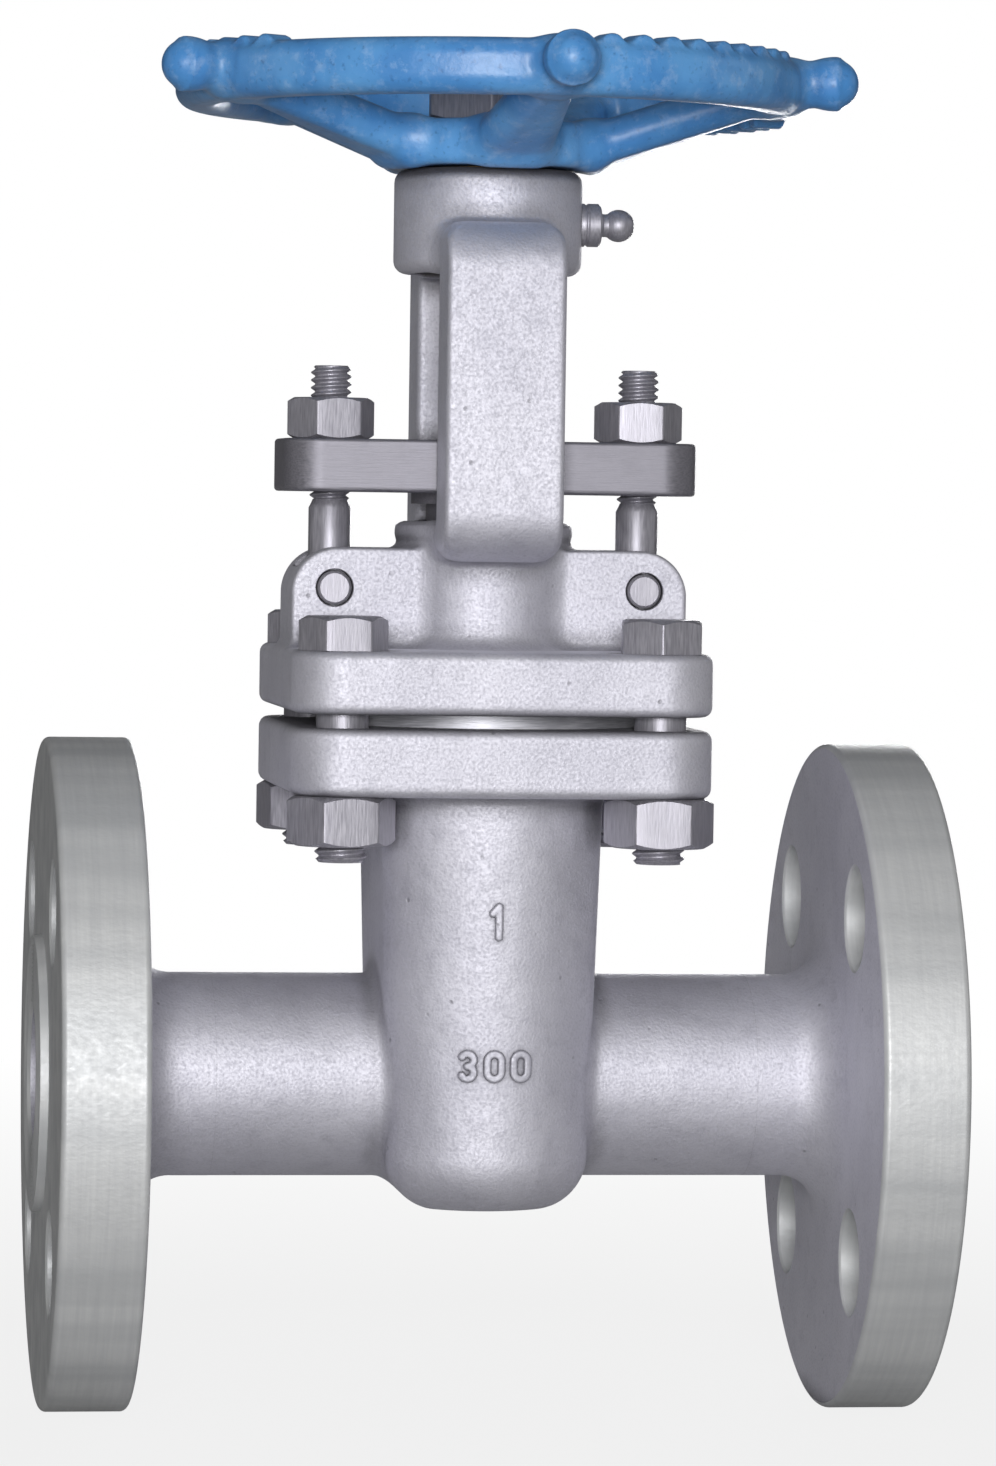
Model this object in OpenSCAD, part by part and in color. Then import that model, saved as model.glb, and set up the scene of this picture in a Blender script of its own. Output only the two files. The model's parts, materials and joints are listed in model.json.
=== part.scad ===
// Flanged gate valve, outside screw and yoke, one inch bore, with a rising stem.
// The valve is drawn about the crossing of the pipe axis (X) and the stem axis (Z), closed,
// and then moved along X so that the origin is the centre of the inlet sealing face.

/* [Pipe ends] */
// Distance between the two raised sealing faces
face_to_face = 165; // [155:1:200]
// Outer diameter of an end flange
flange_od = 124; // [118:1:134]
// Thickness of an end flange without its raised face
flange_t = 15.9; // [12:0.1:19]
// Diameter of the raised sealing face
raised_face_d = 50.8; // [46:0.2:58]
// Height of the raised sealing face
raised_face_h = 1.6; // [1:0.1:3]
// Diameter of the circle on which the pipe bolts sit
bolt_circle_d = 88.9; // [84:0.1:94]
// Diameter of a pipe bolt hole
bolt_hole_d = 19.05; // [14:0.05:20]
// Diameter of the flow passage
port_d = 25.4; // [20:0.2:27]
// Outer diameter of the pipe necks
neck_od = 37.5; // [34:0.5:40]
// Fillet radius between a neck and its flange
neck_fillet_r = 8; // [4:0.5:10]
// Rounding of the flange rim edges
flange_edge_r = 1.2; // [0.4:0.1:3]

/* [Body barrel] */
// Width of the barrel along the pipe, at its top
barrel_x = 41; // [37:0.5:42]
// Depth of the barrel across the pipe, at its top
barrel_y = 60; // [56:0.5:64]
// How much each side of the barrel draws in from top to bottom
barrel_draft = 1.9; // [0.5:0.1:3]
// Radius of the barrel's front and back, seen from above
barrel_front_r = 25; // [22:0.5:30]
// Rounding of the upright barrel corners
barrel_corner_r = 8; // [6:0.5:10]
// Rounding of the barrel's bottom edges
barrel_bottom_r = 10; // [6:0.5:11]
// Depth of the barrel below the pipe axis
barrel_drop = 23.5; // [23:0.5:28]
// Width of the wedge chamber along the pipe
chamber_x = 24; // [22.5:0.5:26]
// Depth of the wedge chamber across the pipe
chamber_y = 44; // [43:0.5:47]
// Rounding of the chamber corners
chamber_corner_r = 8; // [4:0.5:10]
// Depth of the chamber floor below the pipe axis
chamber_drop = 18; // [17.5:0.5:19]
// Width of the two guide ribs in the chamber
guide_w = 4; // [3:0.2:4.4]
// How far the guide ribs stand out of the chamber wall
guide_h = 3; // [2.5:0.1:3.5]

/* [Bonnet joint] */
// Side length of the square body and bonnet flanges
bonnet_square = 77; // [74:0.5:84]
// Corner rounding of the square flanges
bonnet_corner_r = 10; // [6:0.5:12]
// Edge rounding of the square flanges
bonnet_edge_r = 1.8; // [0.6:0.1:2.5]
// Height of the underside of the body flange above the pipe axis
body_flange_z = 53; // [50:0.5:58]
// Thickness of the body flange
body_flange_t = 12.3; // [10:0.1:15]
// Thickness of the bonnet flange
bonnet_flange_t = 11.4; // [9:0.1:14]
// Visible gap between the two square flanges
bonnet_gap = 2.5; // [1.5:0.1:3.5]
// Distance between bonnet bolts, along X and along Y
bonnet_bolt_pitch = 58; // [56:0.5:60]
// Diameter of the bonnet bolts
bonnet_bolt_d = 9.5; // [8:0.1:10]
// Diametral clearance of the bonnet bolt holes
bonnet_hole_play = 1.2; // [0.8:0.1:1.6]
// Width across flats of the bonnet bolt heads
bolt_head_af = 14.3; // [13:0.1:16]
// Height of the bonnet bolt heads
bolt_head_h = 6.2; // [5:0.1:8]
// Width across flats of the bonnet nuts
bonnet_nut_af = 17.5; // [15:0.1:18]
// Height of the bonnet nuts
bonnet_nut_h = 9; // [7:0.1:11]
// Length of bolt that shows below a bonnet nut
bolt_stick_out = 3; // [1:0.5:5]
// Inner diameter of the bonnet gasket
gasket_id = 48; // [47:0.5:50]
// Outer diameter of the bonnet gasket
gasket_od = 60; // [54:0.5:64]
// Depth of the gasket groove in the body flange
gasket_groove = 1; // [0.6:0.1:2]

/* [Seats and wedge] */
// Outer diameter of the seat rings
seat_od = 32; // [30.5:0.2:33]
// Wall thickness of the seat rings
seat_wall = 3.8; // [3.4:0.1:4.4]
// Distance from the stem axis to the back of a seat ring
seat_back_x = 17; // [16:0.2:18]
// Slope of the seat faces against the vertical
wedge_angle = 5; // [4:0.5:6]
// Thickness of the wedge on the pipe axis
wedge_t = 14; // [12:0.5:15]
// Diameter of the wedge disc
wedge_d = 32.4; // [31:0.2:33]
// Gap between a wedge face and its seat when closed, measured along the pipe
wedge_gap = 0.15; // [0.1:0.05:0.3]
// Height of the wedge's stem boss above the pipe axis
wedge_top_z = 29.5; // [28:0.5:31]
// Width of the stem boss across the pipe
wedge_boss_y = 22; // [20:0.5:24]
// Height of the floor of the T-slot above the pipe axis
tee_slot_z = 20; // [19:0.5:21]
// Thickness of the two guide ears of the wedge
ear_x = 11; // [10:0.2:11.4]
// Height of the guide ears above and below the pipe axis
ear_half_h = 12; // [8:0.5:13]

/* [Stem] */
// Diameter of the stem
stem_d = 12; // [11:0.2:12.6]
// Lift of the wedge from closed to open
travel = 29; // [27:0.5:30]
// Width of the T-head across the pipe
tee_w = 12; // [11:0.2:13]
// Width of the T-head along the pipe
tee_x = 11; // [9:0.2:12]
// Height of the T-head
tee_h = 4.5; // [3.5:0.1:5]
// Diameter of the neck above the T-head
tee_neck_d = 8; // [7:0.2:8.6]
// Diameter of the backseat collar
collar_d = 17; // [16:0.2:18]
// Height of the straight part of the backseat collar
collar_h = 3.5; // [2:0.5:5]
// How far the closed stem stands out of the handwheel nut
stem_over_nut = 3.3; // [2.3:0.1:8.3]

/* [Bonnet and stuffing box] */
// Outer diameter of the bonnet neck
bonnet_neck_d = 32; // [30:0.5:34]
// Fillet between the bonnet neck and its flange
bonnet_fillet_r = 3.5; // [2:0.5:5]
// Outer diameter of the lip around the stuffing box
box_lip_d = 32.8; // [32:0.2:36]
// Height of that lip
box_lip_h = 4; // [3:0.2:5]
// Height of the stuffing box above the bonnet flange
box_h = 23.4; // [22.4:0.1:24]
// Outer diameter of the backseat bushing
bushing_od = 19; // [18.6:0.2:20]
// Height of the backseat bushing
bushing_h = 6.2; // [5:0.2:7]
// Thickness of the web between bushing and packing
box_web_t = 2.4; // [1.5:0.1:3]
// Number of packing rings
packing_count = 4; // [3:1:4]
// Square section of the packing rings
packing_s = 4.8; // [4:0.1:4.8]
// How far the gland can be tightened
gland_travel = 3; // [1:0.5:3]

/* [Gland] */
// Length of the gland flange, over its round ends
gland_x = 76.6; // [74:0.2:80]
// Depth of the gland flange between the yoke arms
gland_y = 28.6; // [26:0.2:29]
// Thickness of the gland flange
gland_t = 9.7; // [8:0.1:11]
// Gap between the stuffing box and the gland flange
gland_stand = 5.2; // [4.8:0.1:6.4]
// Rounding of the gland flange corners
gland_corner_r = 7; // [4:0.5:9]
// Rounding of the gland flange edges
gland_edge_r = 1.2; // [0.5:0.1:2]
// Diameter of the follower's head under the gland flange
follower_head_d = 27; // [25.5:0.5:28]
// How deep the follower's head sits in the gland flange
follower_seat = 2; // [1:0.2:3]
// Distance between the two eyebolts
eyebolt_pitch = 57.4; // [56:0.2:58]
// Diameter of the eyebolt shanks
eyebolt_d = 7.8; // [7:0.1:8.2]
// Diameter of the eyebolt eyes
eye_d = 11.4; // [11:0.1:12]
// Thickness of the eyebolt eyes
eye_t = 9; // [8.6:0.2:10]
// Length of the threaded end of an eyebolt
eyebolt_thread = 25; // [20:0.5:27]
// How far an eyebolt stands out of its gland nut
eyebolt_over_nut = 5.9; // [4:0.1:9]
// Diameter of the eyebolt pins
pin_d = 6.3; // [5.5:0.1:6.6]
// Height of the eyebolt pins above the bonnet flange
pin_h = 11; // [10.8:0.1:12.2]
// Width across flats of the gland nuts
gland_nut_af = 14.3; // [12.7:0.1:15]
// Height of the gland nuts
gland_nut_h = 7.6; // [6:0.1:9]

/* [Lugs] */
// Distance from the stem axis to the outer face of a lug
lug_reach = 36.6; // [36.2:0.2:38]
// Depth of the lugs across the pipe
lug_y = 21; // [19:0.5:24]
// Height of the lugs above the bonnet flange
lug_h = 18.4; // [17.8:0.1:19.2]
// Rounding of the outer top corner of the lugs
lug_r = 8.5; // [6:0.5:10]

/* [Yoke] */
// Width of the yoke arms along the pipe
arm_w = 21.8; // [18:0.2:24]
// Distance from the stem axis to the inner face of an arm
arm_inner_y = 15.3; // [15:0.1:15.6]
// Distance from the stem axis to the outer face of an arm
arm_outer_y = 29; // [25:0.5:32]
// How far the arms reach down beside the stuffing box
arm_foot_lap = 7.6; // [5.6:0.2:9.6]
// How far the arms reach up beside the yoke hub
arm_hub_lap = 9.4; // [8.6:0.1:12.8]
// Rounding of the arm corners, seen from the front
arm_corner_r = 4.5; // [3:0.5:6]
// Rounding of the arm edges
arm_edge_r = 2; // [1:0.2:3]
// How far the ends of the arms curve back towards the stem
arm_lean = 7; // [2:0.5:8]
// Height over which an arm end curves back
arm_lean_h = 8; // [3:0.5:9]
// Diameter of the yoke hub
yoke_hub_d = 34.8; // [34:0.2:38]
// Clear height between the stuffing box and the yoke hub
yoke_window_h = 45.6; // [42:0.2:54]
// Height of the yoke hub
yoke_hub_h = 19.2; // [18:0.2:20]
// Rounding of the yoke hub edges
yoke_hub_edge_r = 2.4; // [1:0.2:3]

/* [Yoke sleeve] */
// Diameter of the sleeve where it turns in the hub
journal_d = 22; // [20.6:0.2:23]
// Diameter of the sleeve's thrust flange
thrust_d = 27.4; // [26.6:0.2:28]
// Thickness of the sleeve's thrust flange
thrust_t = 4; // [3:0.2:4.6]
// Thickness of the thrust washer
washer_t = 1.5; // [1:0.1:2]
// Diameter of the sleeve where the handwheel sits
wheel_seat_d = 19; // [18.4:0.2:20]
// Diameter of the sleeve's thread for the handwheel nut
wheel_thread_d = 17; // [16:0.2:17.4]
// Side length of the square handwheel key
key_s = 4; // [3:0.2:4.2]

/* [Handwheel] */
// Diameter over the rim of the handwheel
rim_od = 116; // [110:1:124]
// Width of the rim
rim_w = 8.8; // [7:0.2:11]
// Height of the rim
rim_h = 10; // [8:0.2:12]
// Rounding of the rim edges
rim_edge_r = 3.4; // [2:0.2:4]
// Height of the underside of the rim above the underside of the wheel hub
rim_rise = 10.3; // [9:0.1:12]
// Diameter of the wheel hub
wheel_hub_d = 41; // [38:0.5:44]
// Height of the wheel hub
wheel_hub_h = 8.4; // [7.4:0.2:9]
// Number of spokes and lobes
lobe_count = 5; // [3:1:6]
// Diameter of the ball on each lobe
lobe_d = 9; // [8:0.2:10]
// Distance from the stem axis to the centre of a lobe's ball
lobe_reach = 63.6; // [62:0.2:66]
// Height of a lobe's centre above the middle of the rim
lobe_rise = 1; // [0:0.1:1.4]
// Diameter of the waist between a lobe and the rim
lobe_neck_d = 7.2; // [5:0.2:8]
// Width of a spoke at the hub
spoke_w_hub = 15; // [12:0.5:18]
// Width of a spoke at the rim
spoke_w_rim = 9; // [7.5:0.5:12]
// Thickness of a spoke
spoke_t = 7.8; // [6:0.2:8.4]
// Height of the start of a spoke above the underside of the hub
spoke_rise = 0.8; // [0.4:0.1:1.4]
// Angle of the first lobe about the stem axis
first_lobe_angle = -84.5; // [-90:0.5:-54]
// Height of the raised grip bars across the rim
grip_h = 1.2; // [0.6:0.1:1.6]
// Width of a grip bar
grip_w = 4.4; // [3:0.2:5]
// Angle from one grip bar to the next
grip_step = 6.4; // [5.4:0.1:8]
// Angle from a lobe to the first grip bar after it
grip_start = 9.6; // [8:0.1:14]
// Number of grip bars on top of the rim, after the first lobe
grips_first = 9; // [5:1:10]
// Number of grip bars on top of the rim, across the last lobe
grips_last = 9; // [5:1:10]
// How many of those lie before the last lobe
grips_before = 6; // [2:1:8]
// Number of grip bars under the rim, after the second lobe
grips_under = 6; // [4:1:10]
// Width across flats of the handwheel nut
wheel_nut_af = 22; // [21:0.5:27]
// Height of the handwheel nut
wheel_nut_h = 7.6; // [6:0.2:8]

/* [Grease nipple] */
// Height of the grease nipple above the underside of the yoke hub
nipple_rise = 9.6; // [9.2:0.1:11.8]
// Diameter of the nipple's threaded end
nipple_thread_d = 5.8; // [4:0.1:6]
// Diameter of the nipple's base
nipple_base_d = 8; // [7:0.2:9]
// Height of the nipple's base
nipple_base_h = 4; // [3:0.2:5]
// Diameter of the nipple's neck
nipple_neck_d = 4.2; // [3.4:0.1:4.8]
// Diameter of the nipple's ball head
nipple_head_d = 6; // [5:0.1:6.4]

/* [Fits] */
// Radial clearance where one part turns in another
run_fit = 0.05; // [0.03:0.01:0.08]
// Radial clearance of the stem in the bushing, gland and sleeve
stem_fit = 0.08; // [0.05:0.01:0.1]
// Clearance of fixed parts in their seats
seat_fit = 0.05; // [0.03:0.01:0.1]
// Clearance of the guide ribs and of the T-head in the wedge
guide_fit = 0.4; // [0.2:0.05:0.5]
// Axial play between faces that slide on each other
face_play = 0.1; // [0.05:0.01:0.2]
// Gap between the stem's collar and the bushing when open
backseat_gap = 0.3; // [0.2:0.05:0.5]

/* [Hidden] */
$fn = 96;
// Facets of a full circle inside a hull
hull_fn = 32;
// Facets of a full circle in a spoke
spoke_fn = 20;
// Straight steps in a rounded edge
edge_steps = 4;
// Steps from the middle of the barrel's front to its corner
front_steps = 3;
// Overlap that makes a cut run clear of a face
over = 1;
// Angle of the chamfer on hexagon corners, and the flat it leaves across the hexagon's end
hex_chamfer = 30;
hex_flat = 0.97;

// Heights up the valve, from the pipe axis
body_top_z = body_flange_z + body_flange_t;
bonnet_z = body_top_z + bonnet_gap;
bonnet_top_z = bonnet_z + bonnet_flange_t;
pin_z = bonnet_top_z + pin_h;
lug_top_z = bonnet_top_z + lug_h;
box_top_z = bonnet_top_z + box_h;
gland_z = box_top_z + gland_stand;
gland_nut_z = gland_z + gland_t;
eyebolt_top_z = gland_nut_z + gland_nut_h + eyebolt_over_nut;
bushing_top_z = bonnet_z + bushing_h;
packing_z = bushing_top_z + box_web_t;
packing_top_z = packing_z + packing_count * packing_s;
box_bore_d = stem_d + 2 * packing_s;
arm_foot_z = box_top_z - arm_foot_lap;
yoke_hub_z = box_top_z + yoke_window_h;
arm_top_z = yoke_hub_z + arm_hub_lap;
yoke_hub_top_z = yoke_hub_z + yoke_hub_h;
nipple_z = yoke_hub_z + nipple_rise;
thrust_z = yoke_hub_z + over;
washer_z = thrust_z + thrust_t + face_play;
thrust_face_z = washer_z + washer_t + face_play;
wheel_z = yoke_hub_top_z + 3 * face_play;
wheel_top_z = wheel_z + wheel_hub_h;
rim_z = wheel_z + rim_rise;
stem_top_z = wheel_top_z + wheel_nut_h + stem_over_nut;

// Bore of the seat rings
seat_bore_d = seat_od - 2 * seat_wall;

// Places along the pipe
end_x = face_to_face / 2;
flange_face_x = end_x - raised_face_h;
flange_back_x = flange_face_x - flange_t;
bolt_offset = bonnet_bolt_pitch / 2;
eyebolt_x = eyebolt_pitch / 2;

// Backseat: a 45 degree cone on the stem under the same cone in the bushing
cone_h = (collar_d - stem_d) / 2;
collar_top_z = bonnet_z + seat_fit - travel - backseat_gap;

// Colours of the real finishes
forged = [0.72, 0.72, 0.76];
machined = [0.80, 0.82, 0.82];
bright = [0.86, 0.86, 0.88];
bronze = [0.72, 0.56, 0.32];
graphite = [0.20, 0.20, 0.22];
wheel_blue = [0.20, 0.45, 0.75];

// Moves a piece from the valve's own centre to the row frame
module in_place() translate([end_x, 0, 0]) children();

// Points of a round corner of radius r about [cx, cy], from angle a0 to a1
function round_corner(cx, cy, r, a0, a1) =
    [for (i = [0 : edge_steps]) let (a = a0 + (a1 - a0) * i / edge_steps)
        [cx + r * cos(a), cy + r * sin(a)]];

// A disc with rounded top and bottom edges, standing on z = 0
module rounded_disc(r, h, edge) rotate_extrude() polygon(concat(
    [[0, 0]],
    round_corner(r - edge, edge, edge, -90, 0),
    round_corner(r - edge, h - edge, edge, 0, 90),
    [[0, h]]));

// A plate with rounded corners and edges, centred on Z and standing on z = 0
module rounded_plate(x, y, h, corner, edge) hull()
    for (sx = [-1, 1], sy = [-1, 1])
        translate([sx * (x / 2 - corner), sy * (y / 2 - corner), 0])
            rounded_disc(corner, h, edge, $fn = hull_fn);

// An upright block with four rounded corners, exact arcs, centred on Z
module rounded_block(x, y, h, corner) linear_extrude(h) {
    square([x - 2 * corner, y], center = true);
    square([x, y - 2 * corner], center = true);
    for (sx = [-1, 1], sy = [-1, 1])
        translate([sx * (x / 2 - corner), sy * (y / 2 - corner)]) circle(corner);
}

// A hexagon with both ends chamfered by a cone, standing on z = 0
module hexagon(af, h) intersection() {
    corner_r = af / cos(30) / 2;
    flat_r = af / 2 * hex_flat;
    chamfer_h = (corner_r - flat_r) * tan(hex_chamfer);
    cylinder(r = corner_r, h = h, $fn = 6);
    rotate_extrude() polygon([
        [0, 0], [flat_r, 0], [corner_r, chamfer_h],
        [corner_r, h - chamfer_h], [flat_r, h], [0, h]]);
}

// A hexagon nut with a through bore, standing on z = 0
module nut(af, h, bore_d) difference() {
    hexagon(af, h);
    translate([0, 0, -over]) cylinder(d = bore_d, h = h + 2 * over);
}

// A round bar along +Z with a chamfered tip
module tipped_bar(d, h, tip) {
    cylinder(d = d, h = h - tip);
    translate([0, 0, h - tip]) cylinder(d1 = d, d2 = d - 2 * tip, h = tip);
}

// Repeats a child at the four bonnet bolts
module at_bonnet_bolts()
    for (sx = [-1, 1], sy = [-1, 1]) translate([sx * bolt_offset, sy * bolt_offset, 0]) children();

// Repeats a child at both eyebolts
module at_eyebolts()
    for (sx = [-1, 1]) translate([sx * eyebolt_x, 0, 0]) children();

// Repeats a child on the +X side and, mirrored, on the -X side
module both_ends() for (m = [0, 1]) mirror([m, 0, 0]) children();

// Neck, fillet, flange and raised face, turned about the pipe axis on the +X side
module pipe_end() rotate([0, 90, 0]) rotate_extrude() polygon(concat(
    [[0, 0], [neck_od / 2, 0]],
    round_corner(neck_od / 2 + neck_fillet_r, flange_back_x - neck_fillet_r,
                 neck_fillet_r, 180, 90),
    round_corner(flange_od / 2 - flange_edge_r, flange_back_x + flange_edge_r,
                 flange_edge_r, -90, 0),
    round_corner(flange_od / 2 - flange_edge_r, flange_face_x - flange_edge_r,
                 flange_edge_r, 0, 90),
    [[raised_face_d / 2, flange_face_x], [raised_face_d / 2, end_x], [0, end_x]]));

// The four pipe bolt holes, turned to straddle the upright centre line
module pipe_bolt_holes()
    for (a = [45 : 90 : 315]) rotate([a, 0, 0]) translate([flange_back_x - over, 0, bolt_circle_d / 2])
        rotate([0, 90, 0]) cylinder(d = bolt_hole_d, h = flange_t + raised_face_h + 2 * over);

// Repeats a child of radius r along the barrel's curved front and back, drawn in by inset
module along_barrel(r, inset) {
    arc_r = barrel_front_r - inset - r;
    corner_a = asin((barrel_x / 2 - inset - r) / arc_r);
    for (sy = [-1, 1], i = [-front_steps : front_steps]) {
        a = corner_a * i / front_steps;
        translate([arc_r * sin(a), sy * (barrel_y / 2 - inset - r - arc_r * (1 - cos(a))), 0])
            children();
    }
}

// The forged barrel with its draft and round bottom
module barrel() hull() {
    translate([0, 0, body_flange_z]) along_barrel(barrel_corner_r, 0)
        cylinder(r = barrel_corner_r, h = over, $fn = hull_fn);
    translate([0, 0, barrel_bottom_r - barrel_drop]) along_barrel(barrel_bottom_r, barrel_draft)
        sphere(barrel_bottom_r, $fn = hull_fn);
}

module body() in_place() color(forged) {
    chamber_h = body_top_z + chamber_drop;
    difference() {
        union() {
            barrel();
            both_ends() pipe_end();
            translate([0, 0, body_flange_z])
                rounded_plate(bonnet_square, bonnet_square, body_flange_t,
                              bonnet_corner_r, bonnet_edge_r);
        }
        translate([0, 0, -chamber_drop])
            rounded_block(chamber_x, chamber_y, chamber_h + over, chamber_corner_r);
        rotate([0, 90, 0]) cylinder(d = port_d, h = face_to_face + 2 * over, center = true);
        rotate([0, 90, 0])
            cylinder(d = seat_od + 2 * seat_fit, h = 2 * (seat_back_x + seat_fit), center = true);
        both_ends() pipe_bolt_holes();
        at_bonnet_bolts() translate([0, 0, body_flange_z - over])
            cylinder(d = bonnet_bolt_d + bonnet_hole_play, h = body_flange_t + 2 * over);
        translate([0, 0, body_top_z - gasket_groove])
            cylinder(d = gasket_od + 2 * seat_fit, h = gasket_groove + over);
    }
    for (sy = [-1, 1]) translate([-guide_w / 2,
            sy * (chamber_y / 2 - guide_h / 2 + over / 2) - (guide_h + over) / 2, -chamber_drop - over])
        cube([guide_w, guide_h + over, chamber_h + over - gasket_groove]);
}

// Everything between the two sloped wedge faces, moved out by a gap along the pipe
module wedge_space(gap) rotate([90, 0, 0]) linear_extrude(chamber_y + 2 * over, center = true)
    polygon([
        [-wedge_t / 2 - gap + 2 * chamber_drop * tan(wedge_angle), -2 * chamber_drop],
        [wedge_t / 2 + gap - 2 * chamber_drop * tan(wedge_angle), -2 * chamber_drop],
        [wedge_t / 2 + gap + body_flange_z * tan(wedge_angle), body_flange_z],
        [-wedge_t / 2 - gap - body_flange_z * tan(wedge_angle), body_flange_z]]);

// Seat ring on the +X side, its face cut to the slope of the wedge
module seat_ring() difference() {
    rotate([0, 90, 0]) difference() {
        cylinder(d = seat_od, h = seat_back_x);
        translate([0, 0, -over]) cylinder(d = seat_bore_d, h = seat_back_x + 2 * over);
    }
    wedge_space(wedge_gap);
}

module seat_ring_inlet() in_place() color(machined) mirror([1, 0, 0]) seat_ring();

module seat_ring_outlet() in_place() color(machined) seat_ring();

module wedge() in_place() color(machined) {
    rib_y = chamber_y / 2 - guide_h;
    ear_y = rib_y + guide_h / 2;
    slot_h = tee_h + guide_fit;
    difference() {
        intersection() {
            union() {
                rotate([0, 90, 0]) cylinder(d = wedge_d, h = chamber_x, center = true);
                translate([-chamber_x / 2, -wedge_boss_y / 2, 0])
                    cube([chamber_x, wedge_boss_y, wedge_top_z]);
                translate([-ear_x / 2, -ear_y, -ear_half_h])
                    cube([ear_x, 2 * ear_y, 2 * ear_half_h]);
            }
            wedge_space(0);
        }
        for (sy = [-1, 1]) translate([-guide_w / 2 - guide_fit,
                sy * (rib_y - guide_fit + guide_h / 2) - guide_h / 2, -wedge_d])
            cube([guide_w + 2 * guide_fit, guide_h, 2 * wedge_d]);
        translate([-chamber_x / 2, -tee_w / 2 - guide_fit, tee_slot_z])
            cube([chamber_x, tee_w + 2 * guide_fit, slot_h]);
        translate([-chamber_x / 2, -tee_neck_d / 2 - guide_fit, tee_slot_z])
            cube([chamber_x, tee_neck_d + 2 * guide_fit, wedge_top_z]);
    }
}

module stem() in_place() color(bright) {
    tee_z = tee_slot_z + guide_fit / 2;
    neck_top_z = wedge_top_z + guide_fit;
    collar_z = collar_top_z - collar_h;
    thread_tip = 1.5;
    translate([-tee_x / 2, -tee_w / 2, tee_z]) cube([tee_x, tee_w, tee_h]);
    translate([0, 0, tee_z + tee_h - over])
        cylinder(d = tee_neck_d, h = neck_top_z - tee_z - tee_h + over);
    translate([0, 0, neck_top_z]) tipped_bar(stem_d, stem_top_z - neck_top_z, thread_tip);
    translate([0, 0, collar_z]) cylinder(d = collar_d, h = collar_h);
    translate([0, 0, collar_top_z]) cylinder(d1 = collar_d, d2 = stem_d, h = cone_h);
}

// Neck of the bonnet with its fillet and the lip of the stuffing box
module bonnet_neck() {
    neck_r = bonnet_neck_d / 2;
    translate([0, 0, bonnet_top_z - over]) rotate_extrude() polygon(concat(
        [[0, 0], [neck_r + bonnet_fillet_r, 0]],
        round_corner(neck_r + bonnet_fillet_r, over + bonnet_fillet_r, bonnet_fillet_r, -90, -180),
        [[neck_r, box_top_z - bonnet_top_z], [0, box_top_z - bonnet_top_z]]));
    translate([0, 0, box_top_z - box_lip_h])
        rounded_disc(box_lip_d / 2, box_lip_h, box_lip_h / 2 - over / 2);
}

// The two lugs that carry the eyebolt pins
module lugs() {
    h = lug_top_z - bonnet_top_z;
    for (m = [0, 1]) mirror([m, 0, 0]) translate([0, lug_y / 2, bonnet_top_z])
        rotate([90, 0, 0]) linear_extrude(lug_y) {
            square([lug_reach - lug_r, h]);
            translate([0, -over]) square([lug_reach, h - lug_r + over]);
            translate([lug_reach - lug_r, h - lug_r]) circle(lug_r);
        }
}

// One arm of the yoke, in front of the stem, with its ends curving back to the stem
module yoke_arm() translate([0, -arm_inner_y, 0]) rotate([90, 0, 0]) hull() {
    foot = arm_foot_z + arm_corner_r;
    top = arm_top_z - arm_corner_r;
    depth = arm_outer_y - arm_inner_y;
    for (sx = [-1, 1], i = [0 : edge_steps]) {
        in = arm_lean_h * (1 - cos(90 * i / edge_steps));
        lean = arm_lean * (1 - sin(90 * i / edge_steps));
        for (z = [foot + in, top - in]) translate([sx * (arm_w / 2 - arm_corner_r), z, 0])
            rounded_disc(arm_corner_r, depth - lean, arm_edge_r, $fn = hull_fn);
    }
}

// Blocks that carry an arm's full width into the stuffing box and into the hub
module arm_roots() {
    root_in = arm_inner_y / 2;
    for (z = [[arm_foot_z + arm_edge_r, box_top_z - over],
              [yoke_hub_z + yoke_hub_edge_r, arm_top_z - arm_edge_r]])
        translate([over - arm_w / 2, -arm_inner_y - over, z[0]])
            cube([arm_w - 2 * over, arm_inner_y + over - root_in, z[1] - z[0]]);
}

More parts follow.
